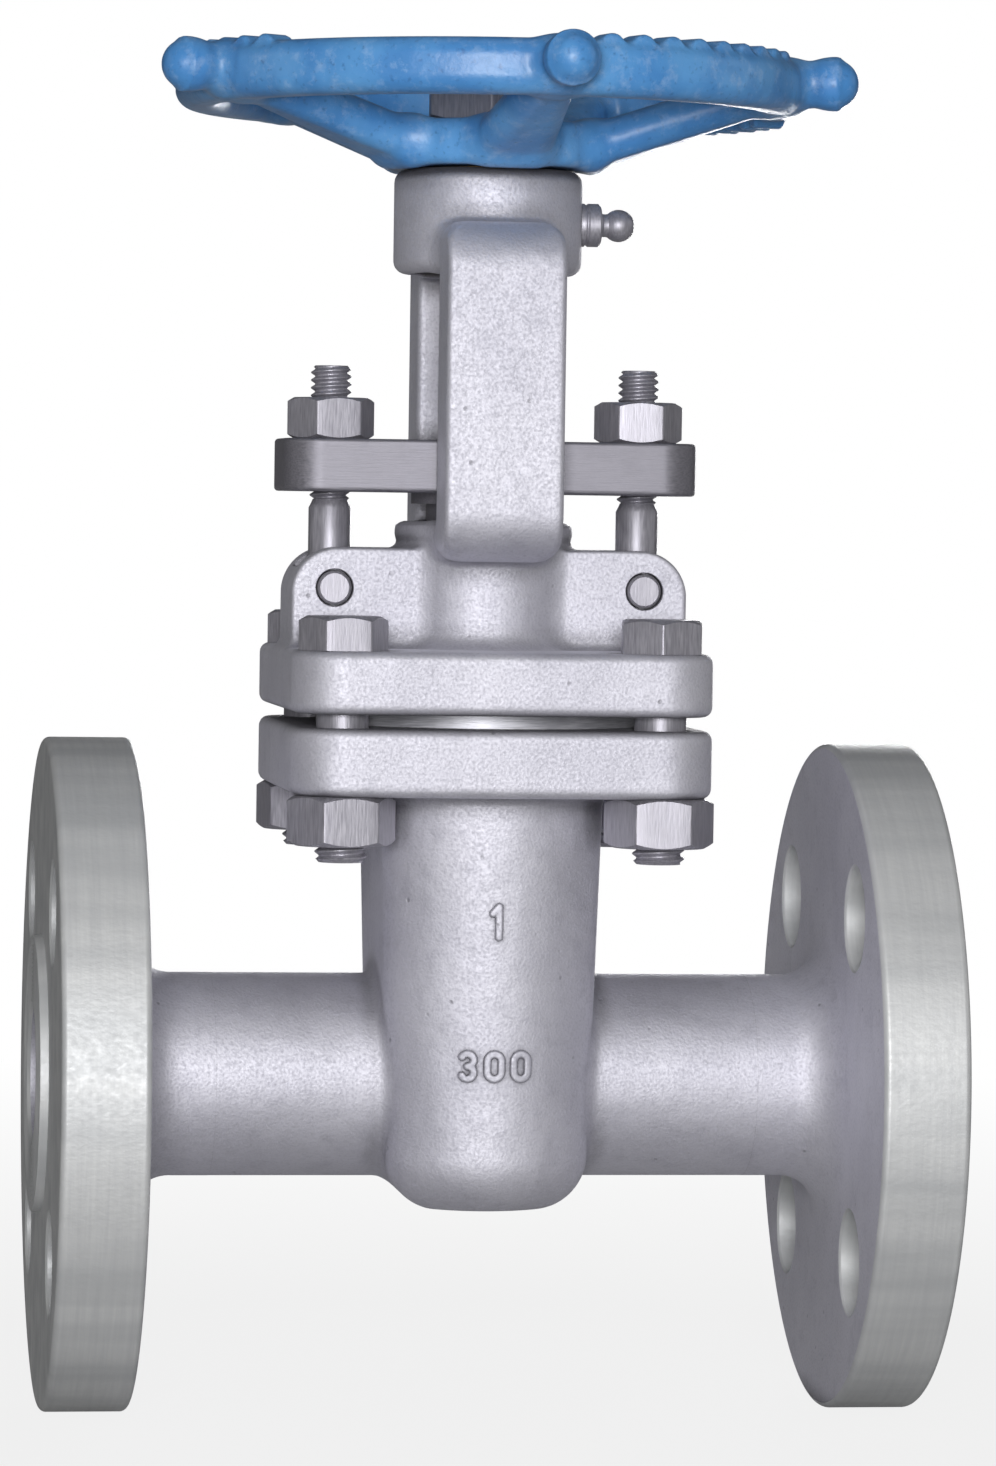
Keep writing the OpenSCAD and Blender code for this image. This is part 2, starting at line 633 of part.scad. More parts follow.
module bonnet() in_place() color(forged) {
    pocket_r = eye_d / 2 + guide_fit / 2;
    pocket_y = eye_t + guide_fit;
    difference() {
        union() {
            translate([0, 0, bonnet_z])
                rounded_plate(bonnet_square, bonnet_square, bonnet_flange_t,
                              bonnet_corner_r, bonnet_edge_r);
            bonnet_neck();
            lugs();
            for (m = [0, 1]) mirror([0, m, 0]) {
                yoke_arm();
                arm_roots();
            }
            translate([0, 0, yoke_hub_z])
                rounded_disc(yoke_hub_d / 2, yoke_hub_h, yoke_hub_edge_r);
        }
        at_bonnet_bolts() translate([0, 0, bonnet_z - over])
            cylinder(d = bonnet_bolt_d + bonnet_hole_play, h = bonnet_flange_t + 2 * over);
        translate([0, 0, bonnet_z - over])
            cylinder(d = bushing_od + 2 * seat_fit, h = bushing_h + over);
        translate([0, 0, bonnet_z])
            cylinder(d = stem_d + 4 * stem_fit, h = box_top_z - bonnet_z);
        translate([0, 0, packing_z]) cylinder(d = box_bore_d, h = box_top_z - packing_z + over);
        translate([0, 0, yoke_hub_z - over])
            cylinder(d = thrust_d + 4 * run_fit, h = thrust_face_z - yoke_hub_z + over);
        translate([0, 0, yoke_hub_z])
            cylinder(d = journal_d + 2 * run_fit, h = yoke_hub_h + over);
        at_eyebolts() {
            translate([0, pocket_y / 2, pin_z]) rotate([90, 0, 0]) cylinder(r = pocket_r, h = pocket_y);
            translate([-pocket_r, -pocket_y / 2, pin_z])
                cube([2 * pocket_r, pocket_y, lug_top_z - pin_z + over]);
            translate([0, lug_y / 2 + over, pin_z]) rotate([90, 0, 0])
                cylinder(d = pin_d + 2 * seat_fit, h = lug_y + 2 * over);
        }
        translate([0, 0, nipple_z]) rotate([0, 90, 0]) {
            cylinder(d = nipple_thread_d + 2 * seat_fit, h = yoke_hub_d);
            translate([0, 0, nipple_seat_x()]) cylinder(d = nipple_base_d + over, h = yoke_hub_d);
        }
    }
}

// Distance from the stem axis to the flat that the nipple's base sits on
function nipple_seat_x() = sqrt(pow(yoke_hub_d / 2, 2) - pow(nipple_base_d / 2, 2));

module backseat_bushing() in_place() color(bronze)
    translate([0, 0, bonnet_z + seat_fit]) difference() {
        cylinder(d = bushing_od, h = bushing_h - 2 * seat_fit);
        translate([0, 0, -over]) cylinder(d = stem_d + 2 * stem_fit, h = bushing_h + over);
        translate([0, 0, 0])
            cylinder(d1 = collar_d + 2 * stem_fit, d2 = stem_d + 2 * stem_fit, h = cone_h);
    }

module bonnet_gasket() in_place() color(machined)
    translate([0, 0, body_top_z - gasket_groove]) difference() {
        cylinder(d = gasket_od, h = gasket_groove + bonnet_gap);
        translate([0, 0, -over]) cylinder(d = gasket_id, h = gasket_groove + bonnet_gap + 2 * over);
    }

module bonnet_bolts() in_place() color(bright) at_bonnet_bolts() {
    shank = bonnet_top_z - body_flange_z + bonnet_nut_h + bolt_stick_out;
    translate([0, 0, bonnet_top_z]) hexagon(bolt_head_af, bolt_head_h);
    translate([0, 0, bonnet_top_z]) mirror([0, 0, 1]) tipped_bar(bonnet_bolt_d, shank, over);
}

module bonnet_nuts() in_place() color(bright) at_bonnet_bolts()
    translate([0, 0, body_flange_z - bonnet_nut_h])
        nut(bonnet_nut_af, bonnet_nut_h, bonnet_bolt_d + 2 * seat_fit);

// One square-section packing ring, counted from the bottom of the stuffing box
module packing_ring(i) in_place() color(graphite)
    translate([0, 0, packing_z + (i - 1) * packing_s]) difference() {
        cylinder(d = box_bore_d - 2 * seat_fit, h = packing_s);
        translate([0, 0, -over]) cylinder(d = stem_d + 2 * stem_fit, h = packing_s + 2 * over);
    }

module gland_follower() in_place() color(machined) difference() {
    head_z = gland_z + follower_seat - follower_head_h();
    union() {
        translate([0, 0, packing_top_z + face_play])
            cylinder(d = box_bore_d - 4 * run_fit, h = head_z - packing_top_z);
        translate([0, 0, head_z]) cylinder(d = follower_head_d, h = follower_head_h());
    }
    translate([0, 0, packing_top_z]) cylinder(d = stem_d + 2 * stem_fit, h = gland_z);
}

// Height of the follower's head, which stays clear of the stuffing box when tightened
function follower_head_h() = gland_z + follower_seat - box_top_z - gland_travel - 2 * face_play;

module gland_flange() in_place() color(machined) difference() {
    translate([0, 0, gland_z])
        rounded_plate(gland_x, gland_y, gland_t, gland_corner_r, gland_edge_r);
    translate([0, 0, gland_z - over])
        cylinder(d = follower_head_d + 2 * seat_fit, h = follower_seat + over);
    translate([0, 0, gland_z]) cylinder(d = stem_d + 8 * stem_fit, h = gland_t + over);
    at_eyebolts() translate([0, 0, gland_z - over])
        cylinder(d = eyebolt_d + 2 * guide_fit, h = gland_t + 2 * over);
}

module gland_eyebolts() in_place() color(bright) at_eyebolts() {
    thread_z = eyebolt_top_z - eyebolt_thread;
    thread_undersize = 0.4;
    difference() {
        union() {
            translate([0, eye_t / 2, pin_z]) rotate([90, 0, 0]) cylinder(d = eye_d, h = eye_t);
            translate([0, 0, pin_z]) cylinder(d = eyebolt_d, h = thread_z - pin_z);
            translate([0, 0, thread_z - over])
                tipped_bar(eyebolt_d - thread_undersize, eyebolt_thread + over, over);
        }
        translate([0, lug_y / 2, pin_z]) rotate([90, 0, 0])
            cylinder(d = pin_d + 2 * run_fit, h = lug_y);
    }
}

module eyebolt_pins() in_place() color(bright) at_eyebolts()
    translate([0, lug_y / 2, pin_z]) rotate([90, 0, 0]) cylinder(d = pin_d, h = lug_y);

module gland_nuts() in_place() color(bright) at_eyebolts()
    translate([0, 0, gland_nut_z]) nut(gland_nut_af, gland_nut_h, eyebolt_d + 2 * seat_fit);

module yoke_sleeve() in_place() color(bronze) {
    top_z = wheel_top_z + wheel_nut_h + over / 2;
    difference() {
        union() {
            translate([0, 0, thrust_z]) cylinder(d = thrust_d, h = thrust_t);
            translate([0, 0, thrust_z]) cylinder(d = journal_d, h = wheel_z - thrust_z);
            translate([0, 0, thrust_z]) cylinder(d = wheel_seat_d, h = wheel_top_z - thrust_z);
            translate([0, 0, thrust_z]) tipped_bar(wheel_thread_d, top_z - thrust_z, over / 2);
        }
        translate([0, 0, thrust_z - over])
            cylinder(d = stem_d + 2 * stem_fit, h = top_z - thrust_z + 2 * over);
        key_room(key_s / 2);
    }
}

// Space of the handwheel key, its inner face sunk a given depth into the wheel seat
module key_room(depth) rotate([0, 0, first_lobe_angle])
    translate([wheel_seat_d / 2 - depth, -key_s / 2, wheel_z])
        cube([key_s, key_s, wheel_hub_h + over]);

module thrust_washer() in_place() color(bright) translate([0, 0, washer_z]) difference() {
    cylinder(d = thrust_d, h = washer_t);
    translate([0, 0, -over]) cylinder(d = journal_d + 4 * run_fit, h = washer_t + 2 * over);
}

// One dished spoke along +X, from the hub up to the rim
module spoke() hull() {
    r = spoke_t / 2;
    for (sy = [-1, 1]) {
        translate([wheel_hub_d / 2, sy * (spoke_w_hub / 2 - r), wheel_z + r + spoke_rise])
            sphere(r, $fn = spoke_fn);
        translate([rim_od / 2 - rim_w + over / 2, sy * (spoke_w_rim / 2 - r), rim_z + rim_h / 2 - over])
            sphere(r, $fn = spoke_fn);
    }
}

// Ball lobe on its flared neck, along +X
module lobe() translate([0, 0, rim_z + rim_h / 2 + lobe_rise]) {
    foot_x = rim_od / 2 - rim_edge_r;
    foot_d = rim_h - 2 * lobe_rise;
    rotate([0, 90, 0]) {
        translate([0, 0, foot_x]) cylinder(d1 = foot_d, d2 = lobe_neck_d, h = rim_edge_r + over);
        translate([0, 0, foot_x]) cylinder(d = lobe_neck_d, h = lobe_reach - foot_x);
    }
    translate([lobe_reach, 0, 0]) sphere(d = lobe_d);
}

// A row of raised bars across the top of the rim, the first at an angle about the stem axis
module grip_row(first, count, z, side) {
    bar_r = (pow(grip_w / 2, 2) + pow(grip_h, 2)) / 2 / grip_h;
    inset = rim_edge_r / 2;
    for (i = [0 : count - 1]) rotate([0, 0, first + i * grip_step])
        translate([rim_od / 2 - rim_w + inset, 0, z + side * (grip_h - bar_r)]) rotate([0, 90, 0])
            cylinder(r = bar_r, h = rim_w - 2 * inset);
}

module handwheel() in_place() color(wheel_blue) {
    rim_in_r = rim_od / 2 - rim_w;
    hub_edge_r = 2;
    lobe_step = 360 / lobe_count;
    difference() {
        union() {
            translate([0, 0, rim_z]) rotate_extrude() polygon(concat(
                round_corner(rim_in_r + rim_edge_r, rim_edge_r, rim_edge_r, 180, 270),
                round_corner(rim_od / 2 - rim_edge_r, rim_edge_r, rim_edge_r, 270, 360),
                round_corner(rim_od / 2 - rim_edge_r, rim_h - rim_edge_r, rim_edge_r, 0, 90),
                round_corner(rim_in_r + rim_edge_r, rim_h - rim_edge_r, rim_edge_r, 90, 180)));
            translate([0, 0, wheel_z]) rounded_disc(wheel_hub_d / 2, wheel_hub_h, hub_edge_r);
            for (i = [0 : lobe_count - 1])
                rotate([0, 0, first_lobe_angle + i * lobe_step]) {
                    spoke();
                    lobe();
                }
            grip_row(first_lobe_angle + grip_start, grips_first, rim_z + rim_h, 1);
            grip_row(first_lobe_angle - lobe_step - grips_before * grip_step, grips_last,
                     rim_z + rim_h, 1);
            grip_row(first_lobe_angle + lobe_step + 2 * grip_start, grips_under, rim_z, -1);
        }
        translate([0, 0, wheel_z - over])
            cylinder(d = wheel_seat_d + 2 * seat_fit, h = wheel_hub_h + 2 * over);
        key_room(key_s / 2);
    }
}

module handwheel_key() in_place() color(bright) rotate([0, 0, first_lobe_angle])
    translate([wheel_seat_d / 2 - key_s / 2 + seat_fit, seat_fit - key_s / 2, wheel_z + seat_fit])
        cube([key_s - 2 * seat_fit, key_s - 2 * seat_fit, wheel_hub_h - 2 * seat_fit]);

module handwheel_nut() in_place() color(bright) translate([0, 0, wheel_top_z])
    nut(wheel_nut_af, wheel_nut_h, wheel_thread_d + 2 * seat_fit);

module grease_nipple() in_place() color(bright) translate([0, 0, nipple_z]) rotate([0, 90, 0]) {
    seat_x = nipple_seat_x();
    shank = seat_x - journal_d / 2 - over;
    head_x = nipple_base_h + nipple_head_d / 2 + over / 2;
    translate([0, 0, seat_x]) {
        translate([0, 0, -shank]) cylinder(d = nipple_thread_d, h = shank + over);
        cylinder(d = nipple_base_d, h = nipple_base_h);
        cylinder(d = nipple_neck_d, h = head_x);
        translate([0, 0, head_x]) sphere(d = nipple_head_d);
    }
}

body();
seat_ring_inlet();
seat_ring_outlet();
wedge();
stem();
bonnet();
backseat_bushing();
bonnet_gasket();
bonnet_bolts();
bonnet_nuts();
for (i = [1 : packing_count])
    packing_ring(i);
gland_follower();
gland_flange();
gland_eyebolts();
eyebolt_pins();
gland_nuts();
yoke_sleeve();
thrust_washer();
handwheel();
handwheel_key();
handwheel_nut();
grease_nipple();
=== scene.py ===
"""Looks of a flanged gate valve of one inch bore, class 300, with an outside screw and yoke.

Lengths are millimetres about the valve's own centre, where the pipe axis (X) meets the stem
axis (Z). place() moves them to the frame, whose origin is the inlet sealing face.
"""
import json
from math import cos, pi, radians, sin, sqrt, tan

import bpy
import numpy as np
from mathutils import Matrix, Vector


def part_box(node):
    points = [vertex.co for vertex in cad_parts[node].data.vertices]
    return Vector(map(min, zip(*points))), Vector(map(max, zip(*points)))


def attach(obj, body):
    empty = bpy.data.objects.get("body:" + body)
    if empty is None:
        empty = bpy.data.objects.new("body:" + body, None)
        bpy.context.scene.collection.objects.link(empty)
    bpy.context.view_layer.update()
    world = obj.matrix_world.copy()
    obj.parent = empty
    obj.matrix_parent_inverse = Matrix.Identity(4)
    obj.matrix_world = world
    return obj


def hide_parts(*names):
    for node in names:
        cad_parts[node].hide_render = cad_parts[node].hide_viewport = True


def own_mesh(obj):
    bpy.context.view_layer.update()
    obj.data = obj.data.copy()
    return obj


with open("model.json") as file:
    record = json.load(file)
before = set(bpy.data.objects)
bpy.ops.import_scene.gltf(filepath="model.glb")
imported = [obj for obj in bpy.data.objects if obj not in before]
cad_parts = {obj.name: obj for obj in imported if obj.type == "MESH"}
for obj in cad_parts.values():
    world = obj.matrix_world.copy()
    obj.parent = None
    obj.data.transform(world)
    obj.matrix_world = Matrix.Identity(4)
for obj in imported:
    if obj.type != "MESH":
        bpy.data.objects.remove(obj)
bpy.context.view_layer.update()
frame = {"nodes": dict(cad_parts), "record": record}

MM = 0.001
CENTRE_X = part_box("body")[1].x / MM / 2


def span(node):
    """Lowest and highest corner of a CAD node, in millimetres about the valve's centre."""
    low, high = (np.array(corner) / MM - (CENTRE_X, 0, 0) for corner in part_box(node))
    return low, high


# Sizes taken from the frame
body_low, body_high = span("body")
bonnet_low, bonnet_high = span("bonnet")
nuts_low, nuts_high = span("bonnet_nuts")
bolts_low, bolts_high = span("bonnet_bolts")
gasket_low, gasket_high = span("bonnet_gasket")
gland_low, gland_high = span("gland_flange")
gland_nuts_low, gland_nuts_high = span("gland_nuts")
eyes_high = span("gland_eyebolts")[1]
pins_low, pins_high = span("eyebolt_pins")
wheel_low, wheel_high = span("handwheel")
wheel_nut_low, wheel_nut_high = span("handwheel_nut")
stem_low, stem_high = span("stem")
sleeve_low, sleeve_high = span("yoke_sleeve")
nipple_low, nipple_high = span("grease_nipple")

face_x = body_high[0]
flange_r = body_high[1]
body_top = body_high[2]
body_flange_z = nuts_high[2]
bonnet_z = bonnet_low[2]
hub_top = bonnet_high[2]
half_square = bonnet_high[1]
pin_r = (pins_high[2] - pins_low[2]) / 2
pin_z = (pins_high[2] + pins_low[2]) / 2
pin_x = pins_high[0] - pin_r
lug_y = pins_high[1]

# Pipe ends
raised_h = 1.6
raised_r = 25.4
flange_t = 15.9
flange_edge = 1.2
port_r = 12.7
neck_r = 18.75
neck_fillet = 8
bolt_circle_r = 44.45
bolt_hole_r = 9.525
bolt_hole_edge = 0.4
serration_pitch = 0.8
serration_depth = 0.18
serration_out_r = raised_r - 1.2
serration_in_r = port_r + 1.6
seam_x = 50
seam_lap = 1.5
seam_proud = 0.02

# Body forging
barrel_half_x = 20.5
barrel_half_y = 30
barrel_draft = 1.9
barrel_front_r = 25
barrel_corner = 8
barrel_bottom = 10
barrel_low = 23.5
chamber_half = (12, 22)
chamber_corner = 8
chamber_low = 18
chamber_edge = 0.5
seat_r = 16.05
seat_x = 17.05
square_corner = 10
square_edge = 1.8
bolt_at = 29
bolt_hole = 5.35
forging_fillet = 2
clearance = 0.05
rib_y = 21
rib_half = 2

# Bonnet
bonnet_top = bonnet_z + 11.4
box_r = 16
box_top = bonnet_top + 23.4
box_bore = 10.8
box_floor_h = 8.6
box_fillet = 3.5
stem_hole_r = 6.2
bushing_r = 9.55
bushing_h = 6.2
lip_r = 16.4
lip_h = 4
lip_edge = 1.9
lip_fillet = 0.8
# The top of the stuffing box is faced flat, where the follower's head comes down to it
faced_r = 14.2
faced_depth = 0.05
lug_out = 36.6
lug_top = bonnet_top + 18.4
lug_round = 8.5
lug_edge = 0.7
lug_fillet = 1.8
pocket_r = 5.9
pocket_y = 4.7
arm_half = 10.9
arm_in = 15.3
arm_out = 29
arm_foot = box_top - 7.6
hub_z = box_top + 45.6
arm_head = hub_z + 9.4
arm_corner = 4.5
arm_edge = 1.2
arm_bend = 10
arm_fillet = 1.9
window_corner = 2
window_edge = 1.2
hub_r = 17.4
hub_edge = 2.4
bore_edge = 0.4
journal_r = 11.05
thrust_r = 13.8
thrust_top = hub_z + 6.7
nipple_z = (nipple_low[2] + nipple_high[2]) / 2
nipple_base_r = 4
nipple_seat_x = sqrt(hub_r ** 2 - nipple_base_r ** 2)

# Handwheel
wheel_z = wheel_low[2]
wheel_hub_r = 20.5
wheel_hub_h = 8.4
rim_out = 58
rim_w = 8.8
rim_h = 10
rim_edge = 3.4
rim_z = wheel_z + 10.3
rim_mid_z = rim_z + rim_h / 2
lobe_angle = -84.5
lobe_step = 72
lobe_reach = 63.6
lobe_z = rim_mid_z + 1
lobe_r = 4.5
lobe_neck_r = 4
lobe_fillet = 3.2
spoke_r = 3.9
spoke_flat_in = 3.6
spoke_flat_out = 0.6
spoke_fillet = 3
wheel_hub_fillet = 4
wheel_bore_r = 9.55
grip_h = 1.2
grip_w = 4.4
grip_step = 6.4
grip_start = 9.6
grips_on_top = 9
grips_below = 6

# Gland flange and packing
gland_corner = 7
gland_edge = 0.7
eyebolt_hole_r = 4.3
gland_bore_r = 6.32
follower_seat_r = 13.55
follower_seat_h = 2
ring_bore_r = 6.08
ring_r = 10.75
ring_edge = 0.7

# Hexagons across their flats, and the chamfer of their ends in degrees
small_hexagon = 14.3
bonnet_nut_hexagon = 17.5
wheel_nut_hexagon = 22
hexagon_chamfer = 30

# Bonnet bolts and eyebolts
bolt_r = 4.75
bolt_lead = 1.59
eyebolt_r = 3.9
eyebolt_lead = 1.41
eyebolt_thread = 25
thread_depth = 0.75
eye_r = 5.7
eye_half = 4.5
eye_edge = 0.8

# Stem: T-head, neck, backseat collar with a cone above it, and power thread
head_half = (5.5, 6)
head_h = 4.5
stem_r = 6
stem_neck_r = 4
stem_neck_top = 29.9
collar_r = 8.5
collar_low = 35.05
collar_high = 38.55
cone_top = 41.05
collar_edge = 0.3
power_low = 112
power_lead = 4
power_depth = 1.1

# Yoke sleeve
sleeve_bore_r = 6.08
sleeve_flange_r = 13.7
sleeve_flange_h = 4
sleeve_edge = 0.3
sleeve_journal_r = 11
sleeve_seat_r = 9.5
sleeve_thread_r = 8.5

# Raised numbers on the front of the barrel: the bore in inches above, the pressure class below
mark_proud = 0.55
mark_stroke = 0.75
bore_mark_z = 30.3
bore_mark_h = 5.5
class_mark_z = 4
class_mark_h = 4.5
digit_w = 2.6
digit_step = 4.9

# Edges that turn by more than these degrees stay sharp
crease = 30
flange_crease = 28


# Distance fields. Each takes millimetres and is negative inside.

def rounded_and(a, b, r):
    """Inside both a and b, with their shared edge rounded to radius r."""
    return np.minimum(-r, np.maximum(a, b)) + np.hypot(np.maximum(a + r, 0), np.maximum(b + r, 0))


def filleted(a, b, r):
    """Inside a or b, with a fillet of radius r where they meet."""
    return np.maximum(r, np.minimum(a, b)) - np.hypot(np.maximum(r - a, 0), np.maximum(r - b, 0))


def rounded_cut(a, b, r):
    """Inside a and outside b, with the edge of the cut rounded."""
    return rounded_and(a, -b, r)


def rectangle(u, v, half_u, half_v, corner):
    """A rectangle in a plane, with rounded corners."""
    du, dv = np.abs(u) - half_u + corner, np.abs(v) - half_v + corner
    return np.minimum(np.maximum(du, dv), 0) + np.hypot(np.maximum(du, 0), np.maximum(dv, 0)) - corner


def oval(u, v, half_u, half_v, front_r, corner):
    """A shape in a plane with flat flanks, a curved front and back, and rounded corners."""
    u, rise = np.abs(u), np.abs(v) - half_v + front_r
    inner_u, inner_r = half_u - corner, front_r - corner
    corner_rise = np.sqrt(inner_r ** 2 - inner_u ** 2)
    at_corner = (rise > corner_rise) & (u * corner_rise > rise * inner_u)
    return np.where(at_corner, np.hypot(u - inner_u, rise - corner_rise),
                    np.maximum(np.hypot(u, rise) - inner_r, u - inner_u)) - corner


def between(w, low, high):
    """The slab between two heights."""
    return np.abs(w - (low + high) / 2) - (high - low) / 2


def bonnet_holes(x, y):
    """The four bonnet bolt holes."""
    return np.hypot(np.abs(x) - bolt_at, np.abs(y) - bolt_at) - bolt_hole


def square_flange(x, y, z, low, high):
    """One of the two square flanges, its edges rounded by the forging die."""
    outline = rectangle(x, y, half_square, half_square, square_corner)
    return rounded_and(outline, between(z, low, high), square_edge)


def body_forging(x, y, z):
    """Barrel, necks and square flange of the body, with the wedge chamber inside."""
    depth = (body_flange_z - z) / (body_flange_z + barrel_low - barrel_bottom)
    draw = barrel_draft * np.clip(depth, -0.1, 1.2)
    section = oval(x, y, barrel_half_x - draw, barrel_half_y - draw, barrel_front_r - draw, barrel_corner)
    barrel = rounded_and(section, -barrel_low - z, barrel_bottom)
    barrel = np.maximum(barrel, z - body_flange_z - 2)
    bore = np.hypot(y, z)
    neck = np.maximum(bore - neck_r, np.abs(x) - seam_x - seam_lap)
    solid = filleted(barrel, neck, forging_fillet)
    solid = filleted(solid, square_flange(x, y, z, body_flange_z, body_top), forging_fillet)
    chamber = rectangle(x, y, *chamber_half, chamber_corner)
    solid = rounded_cut(solid, np.maximum(chamber, -chamber_low - z), chamber_edge)
    solid = np.maximum(solid, port_r - bore)
    solid = np.maximum(solid, -np.maximum(bore - seat_r, np.abs(x) - seat_x))
    solid = np.maximum(solid, -np.maximum(bonnet_holes(x, y), body_flange_z - 2 - z))
    groove = np.maximum(np.hypot(x, y) - gasket_high[0] - clearance, gasket_low[2] - z)
    solid = np.maximum(solid, -groove)
    rib = rectangle(x, np.abs(y) - rib_y, rib_half, rib_half, 0.5)
    rib = np.maximum(rib, between(z, -chamber_low - 1, gasket_low[2] - 1))
    return np.minimum(solid, rib)


def bonnet_forging(x, y, z):
    """Square flange, stuffing box, lugs, yoke arms and yoke hub in one forging."""
    plan = np.hypot(x, y)
    wide, deep = np.abs(x), np.abs(y)
    box = np.maximum(plan - box_r, between(z, bonnet_z + 3, box_top - 1))
    flange = square_flange(x, y, z, bonnet_z, bonnet_top)
    solid = filleted(flange, box, box_fillet)
    lug = rounded_and(wide - lug_out, z - lug_top, lug_round)
    lug = rounded_and(lug, deep - lug_y, lug_edge)
    lug = np.maximum(lug, bonnet_z + 3 - z)
    solid = filleted(solid, lug, lug_fillet)
    lip = rounded_and(plan - lip_r, between(z, box_top - lip_h, box_top), lip_edge)
    solid = filleted(solid, lip, lip_fillet)
    hub = rounded_and(plan - hub_r, between(z, hub_z, hub_top), hub_edge)
    middle = (arm_foot + arm_head) / 2
    outline = rectangle(x, z - middle, arm_half, arm_head - middle, arm_corner)
    bend = rounded_and(deep - arm_out, between(z, arm_foot, arm_head), arm_bend)
    arm = rounded_and(outline, bend, arm_edge)
    window = rounded_and(deep - arm_in, between(z, box_top - 0.5, hub_z + 0.5), window_corner)
    arm = rounded_cut(arm, window, window_edge)
    arm = np.maximum(arm, 7 - deep)
    solid = filleted(np.minimum(solid, hub), arm, arm_fillet)
    bores = np.minimum(plan - stem_hole_r, np.maximum(plan - box_bore, bonnet_z + box_floor_h - z))
    bores = np.minimum(bores, np.maximum(plan - bushing_r, z - bonnet_z - bushing_h))
    bores = np.maximum(bores, z - box_top - 3)
    solid = rounded_cut(solid, bores, bore_edge)
    journal = np.maximum(plan - journal_r, hub_z - 1 - z)
    thrust = np.maximum(plan - thrust_r, between(z, hub_z - 5, thrust_top))
    solid = rounded_cut(solid, np.minimum(journal, thrust), bore_edge)
    solid = np.maximum(solid, -np.maximum(bonnet_holes(x, y), z - bonnet_top - 2))
    pocket = np.minimum(np.hypot(wide - pin_x, z - pin_z) - pocket_r,
                        np.maximum(np.abs(wide - pin_x) - pocket_r, pin_z - z))
    solid = rounded_cut(solid, np.maximum(pocket, deep - pocket_y), 0.6)
    pin_hole = np.maximum(np.hypot(wide - pin_x, z - pin_z) - pin_r - 0.8, z - pin_z - pocket_r)
    solid = np.maximum(solid, -pin_hole)
    faced = np.maximum(plan - faced_r, between(z, box_top - faced_depth, hub_z - 8))
    solid = np.maximum(solid, -faced)
    spot = np.maximum(np.hypot(y, z - nipple_z) - nipple_base_r - 0.5, nipple_seat_x - x)
    return rounded_cut(solid, spot, bore_edge)


def around(x, y, angle):
    """The same point, turned so that an angle about the stem axis lies along +X."""
    a = radians(angle)
    return x * cos(a) + y * sin(a), y * cos(a) - x * sin(a)


def handwheel_casting(x, y, z):
    """Rim, hub, five dished spokes, five ball lobes and the raised grip bars."""
    plan = np.hypot(x, y)
    rim_in = rim_out - rim_w
    rim = rectangle(plan - (rim_out + rim_in) / 2, z - rim_mid_z, rim_w / 2, rim_h / 2, rim_edge)
    hub = rounded_and(plan - wheel_hub_r, between(z, wheel_z, wheel_z + wheel_hub_h), 2)
    start = np.array((wheel_hub_r, wheel_z + spoke_r + 0.8))
    end = np.array((rim_in + 0.5, rim_mid_z - 1))
    run = end - start
    spokes = lobes = np.float32(99)
    for i in range(5):
        u, v = around(x, y, lobe_angle + i * lobe_step)
        along = np.clip(((u - start[0]) * run[0] + (z - start[1]) * run[1]) / (run @ run), 0, 1)
        off = np.hypot(u - start[0] - along * run[0], z - start[1] - along * run[1])
        flat = spoke_flat_in - (spoke_flat_in - spoke_flat_out) * along
        spokes = np.minimum(spokes, np.hypot(off, np.maximum(np.abs(v) - flat, 0)) - spoke_r)
        ball = np.sqrt((u - lobe_reach) ** 2 + v ** 2 + (z - lobe_z) ** 2) - lobe_r
        neck = np.maximum(np.hypot(v, z - lobe_z) - lobe_neck_r, between(u, rim_out - 4, lobe_reach))
        lobes = np.minimum(lobes, filleted(ball, neck, 2.5))
    solid = filleted(filleted(rim, spokes, spoke_fillet), hub, wheel_hub_fillet)
    solid = filleted(solid, lobes, lobe_fillet)
    bar_r = ((grip_w / 2) ** 2 + grip_h ** 2) / 2 / grip_h
    bars = np.float32(99)
    rows = ((lobe_angle + grip_start, grips_on_top, 1),
            (lobe_angle - lobe_step - 6 * grip_step, grips_on_top, 1),
            (lobe_angle + lobe_step + 2 * grip_start, grips_below, -1))
    for first, count, side in rows:
        top = rim_mid_z + side * (rim_h / 2 + grip_h - bar_r)
        for i in range(count):
            u, v = around(x, y, first + i * grip_step)
            bar = np.hypot(v, z - top) - bar_r
            bars = np.minimum(bars, rounded_and(bar, between(u, rim_in + 1.4, rim_out - 1.4), 0.8))
    solid = filleted(solid, bars, 0.6)
    return rounded_cut(solid, plan - wheel_bore_r, bore_edge)


def stroke(u, v, start, end):
    """Distance from a straight stroke in a plane."""
    run = np.subtract(end, start)
    along = np.clip(((u - start[0]) * run[0] + (v - start[1]) * run[1]) / (run @ run), 0, 1)
    return np.hypot(u - start[0] - along * run[0], v - start[1] - along * run[1])


def digit_one(u, v, high):
    """Distance from the line of a plain 1 about its middle."""
    top = high / 2
    return np.minimum(stroke(u, v, (0, -top), (0, top)), stroke(u, v, (0, top), (-1.1, top - 1.2)))


def digit_zero(u, v, high):
    """Distance from the line of a plain 0 about its middle."""
    return np.abs(rectangle(u, v, digit_w / 2, high / 2, digit_w / 2))


def digit_three(u, v, high):
    """Distance from the line of a plain 3, two open bows that meet at its middle."""
    bow = high / 4
    v = np.abs(v) - bow
    ends = np.minimum(np.hypot(u, v + bow), np.hypot(u + 0.87 * bow, v - bow / 2))
    return np.where((u < 0) & (v < bow / 2), ends, np.abs(np.hypot(u, v) - bow))


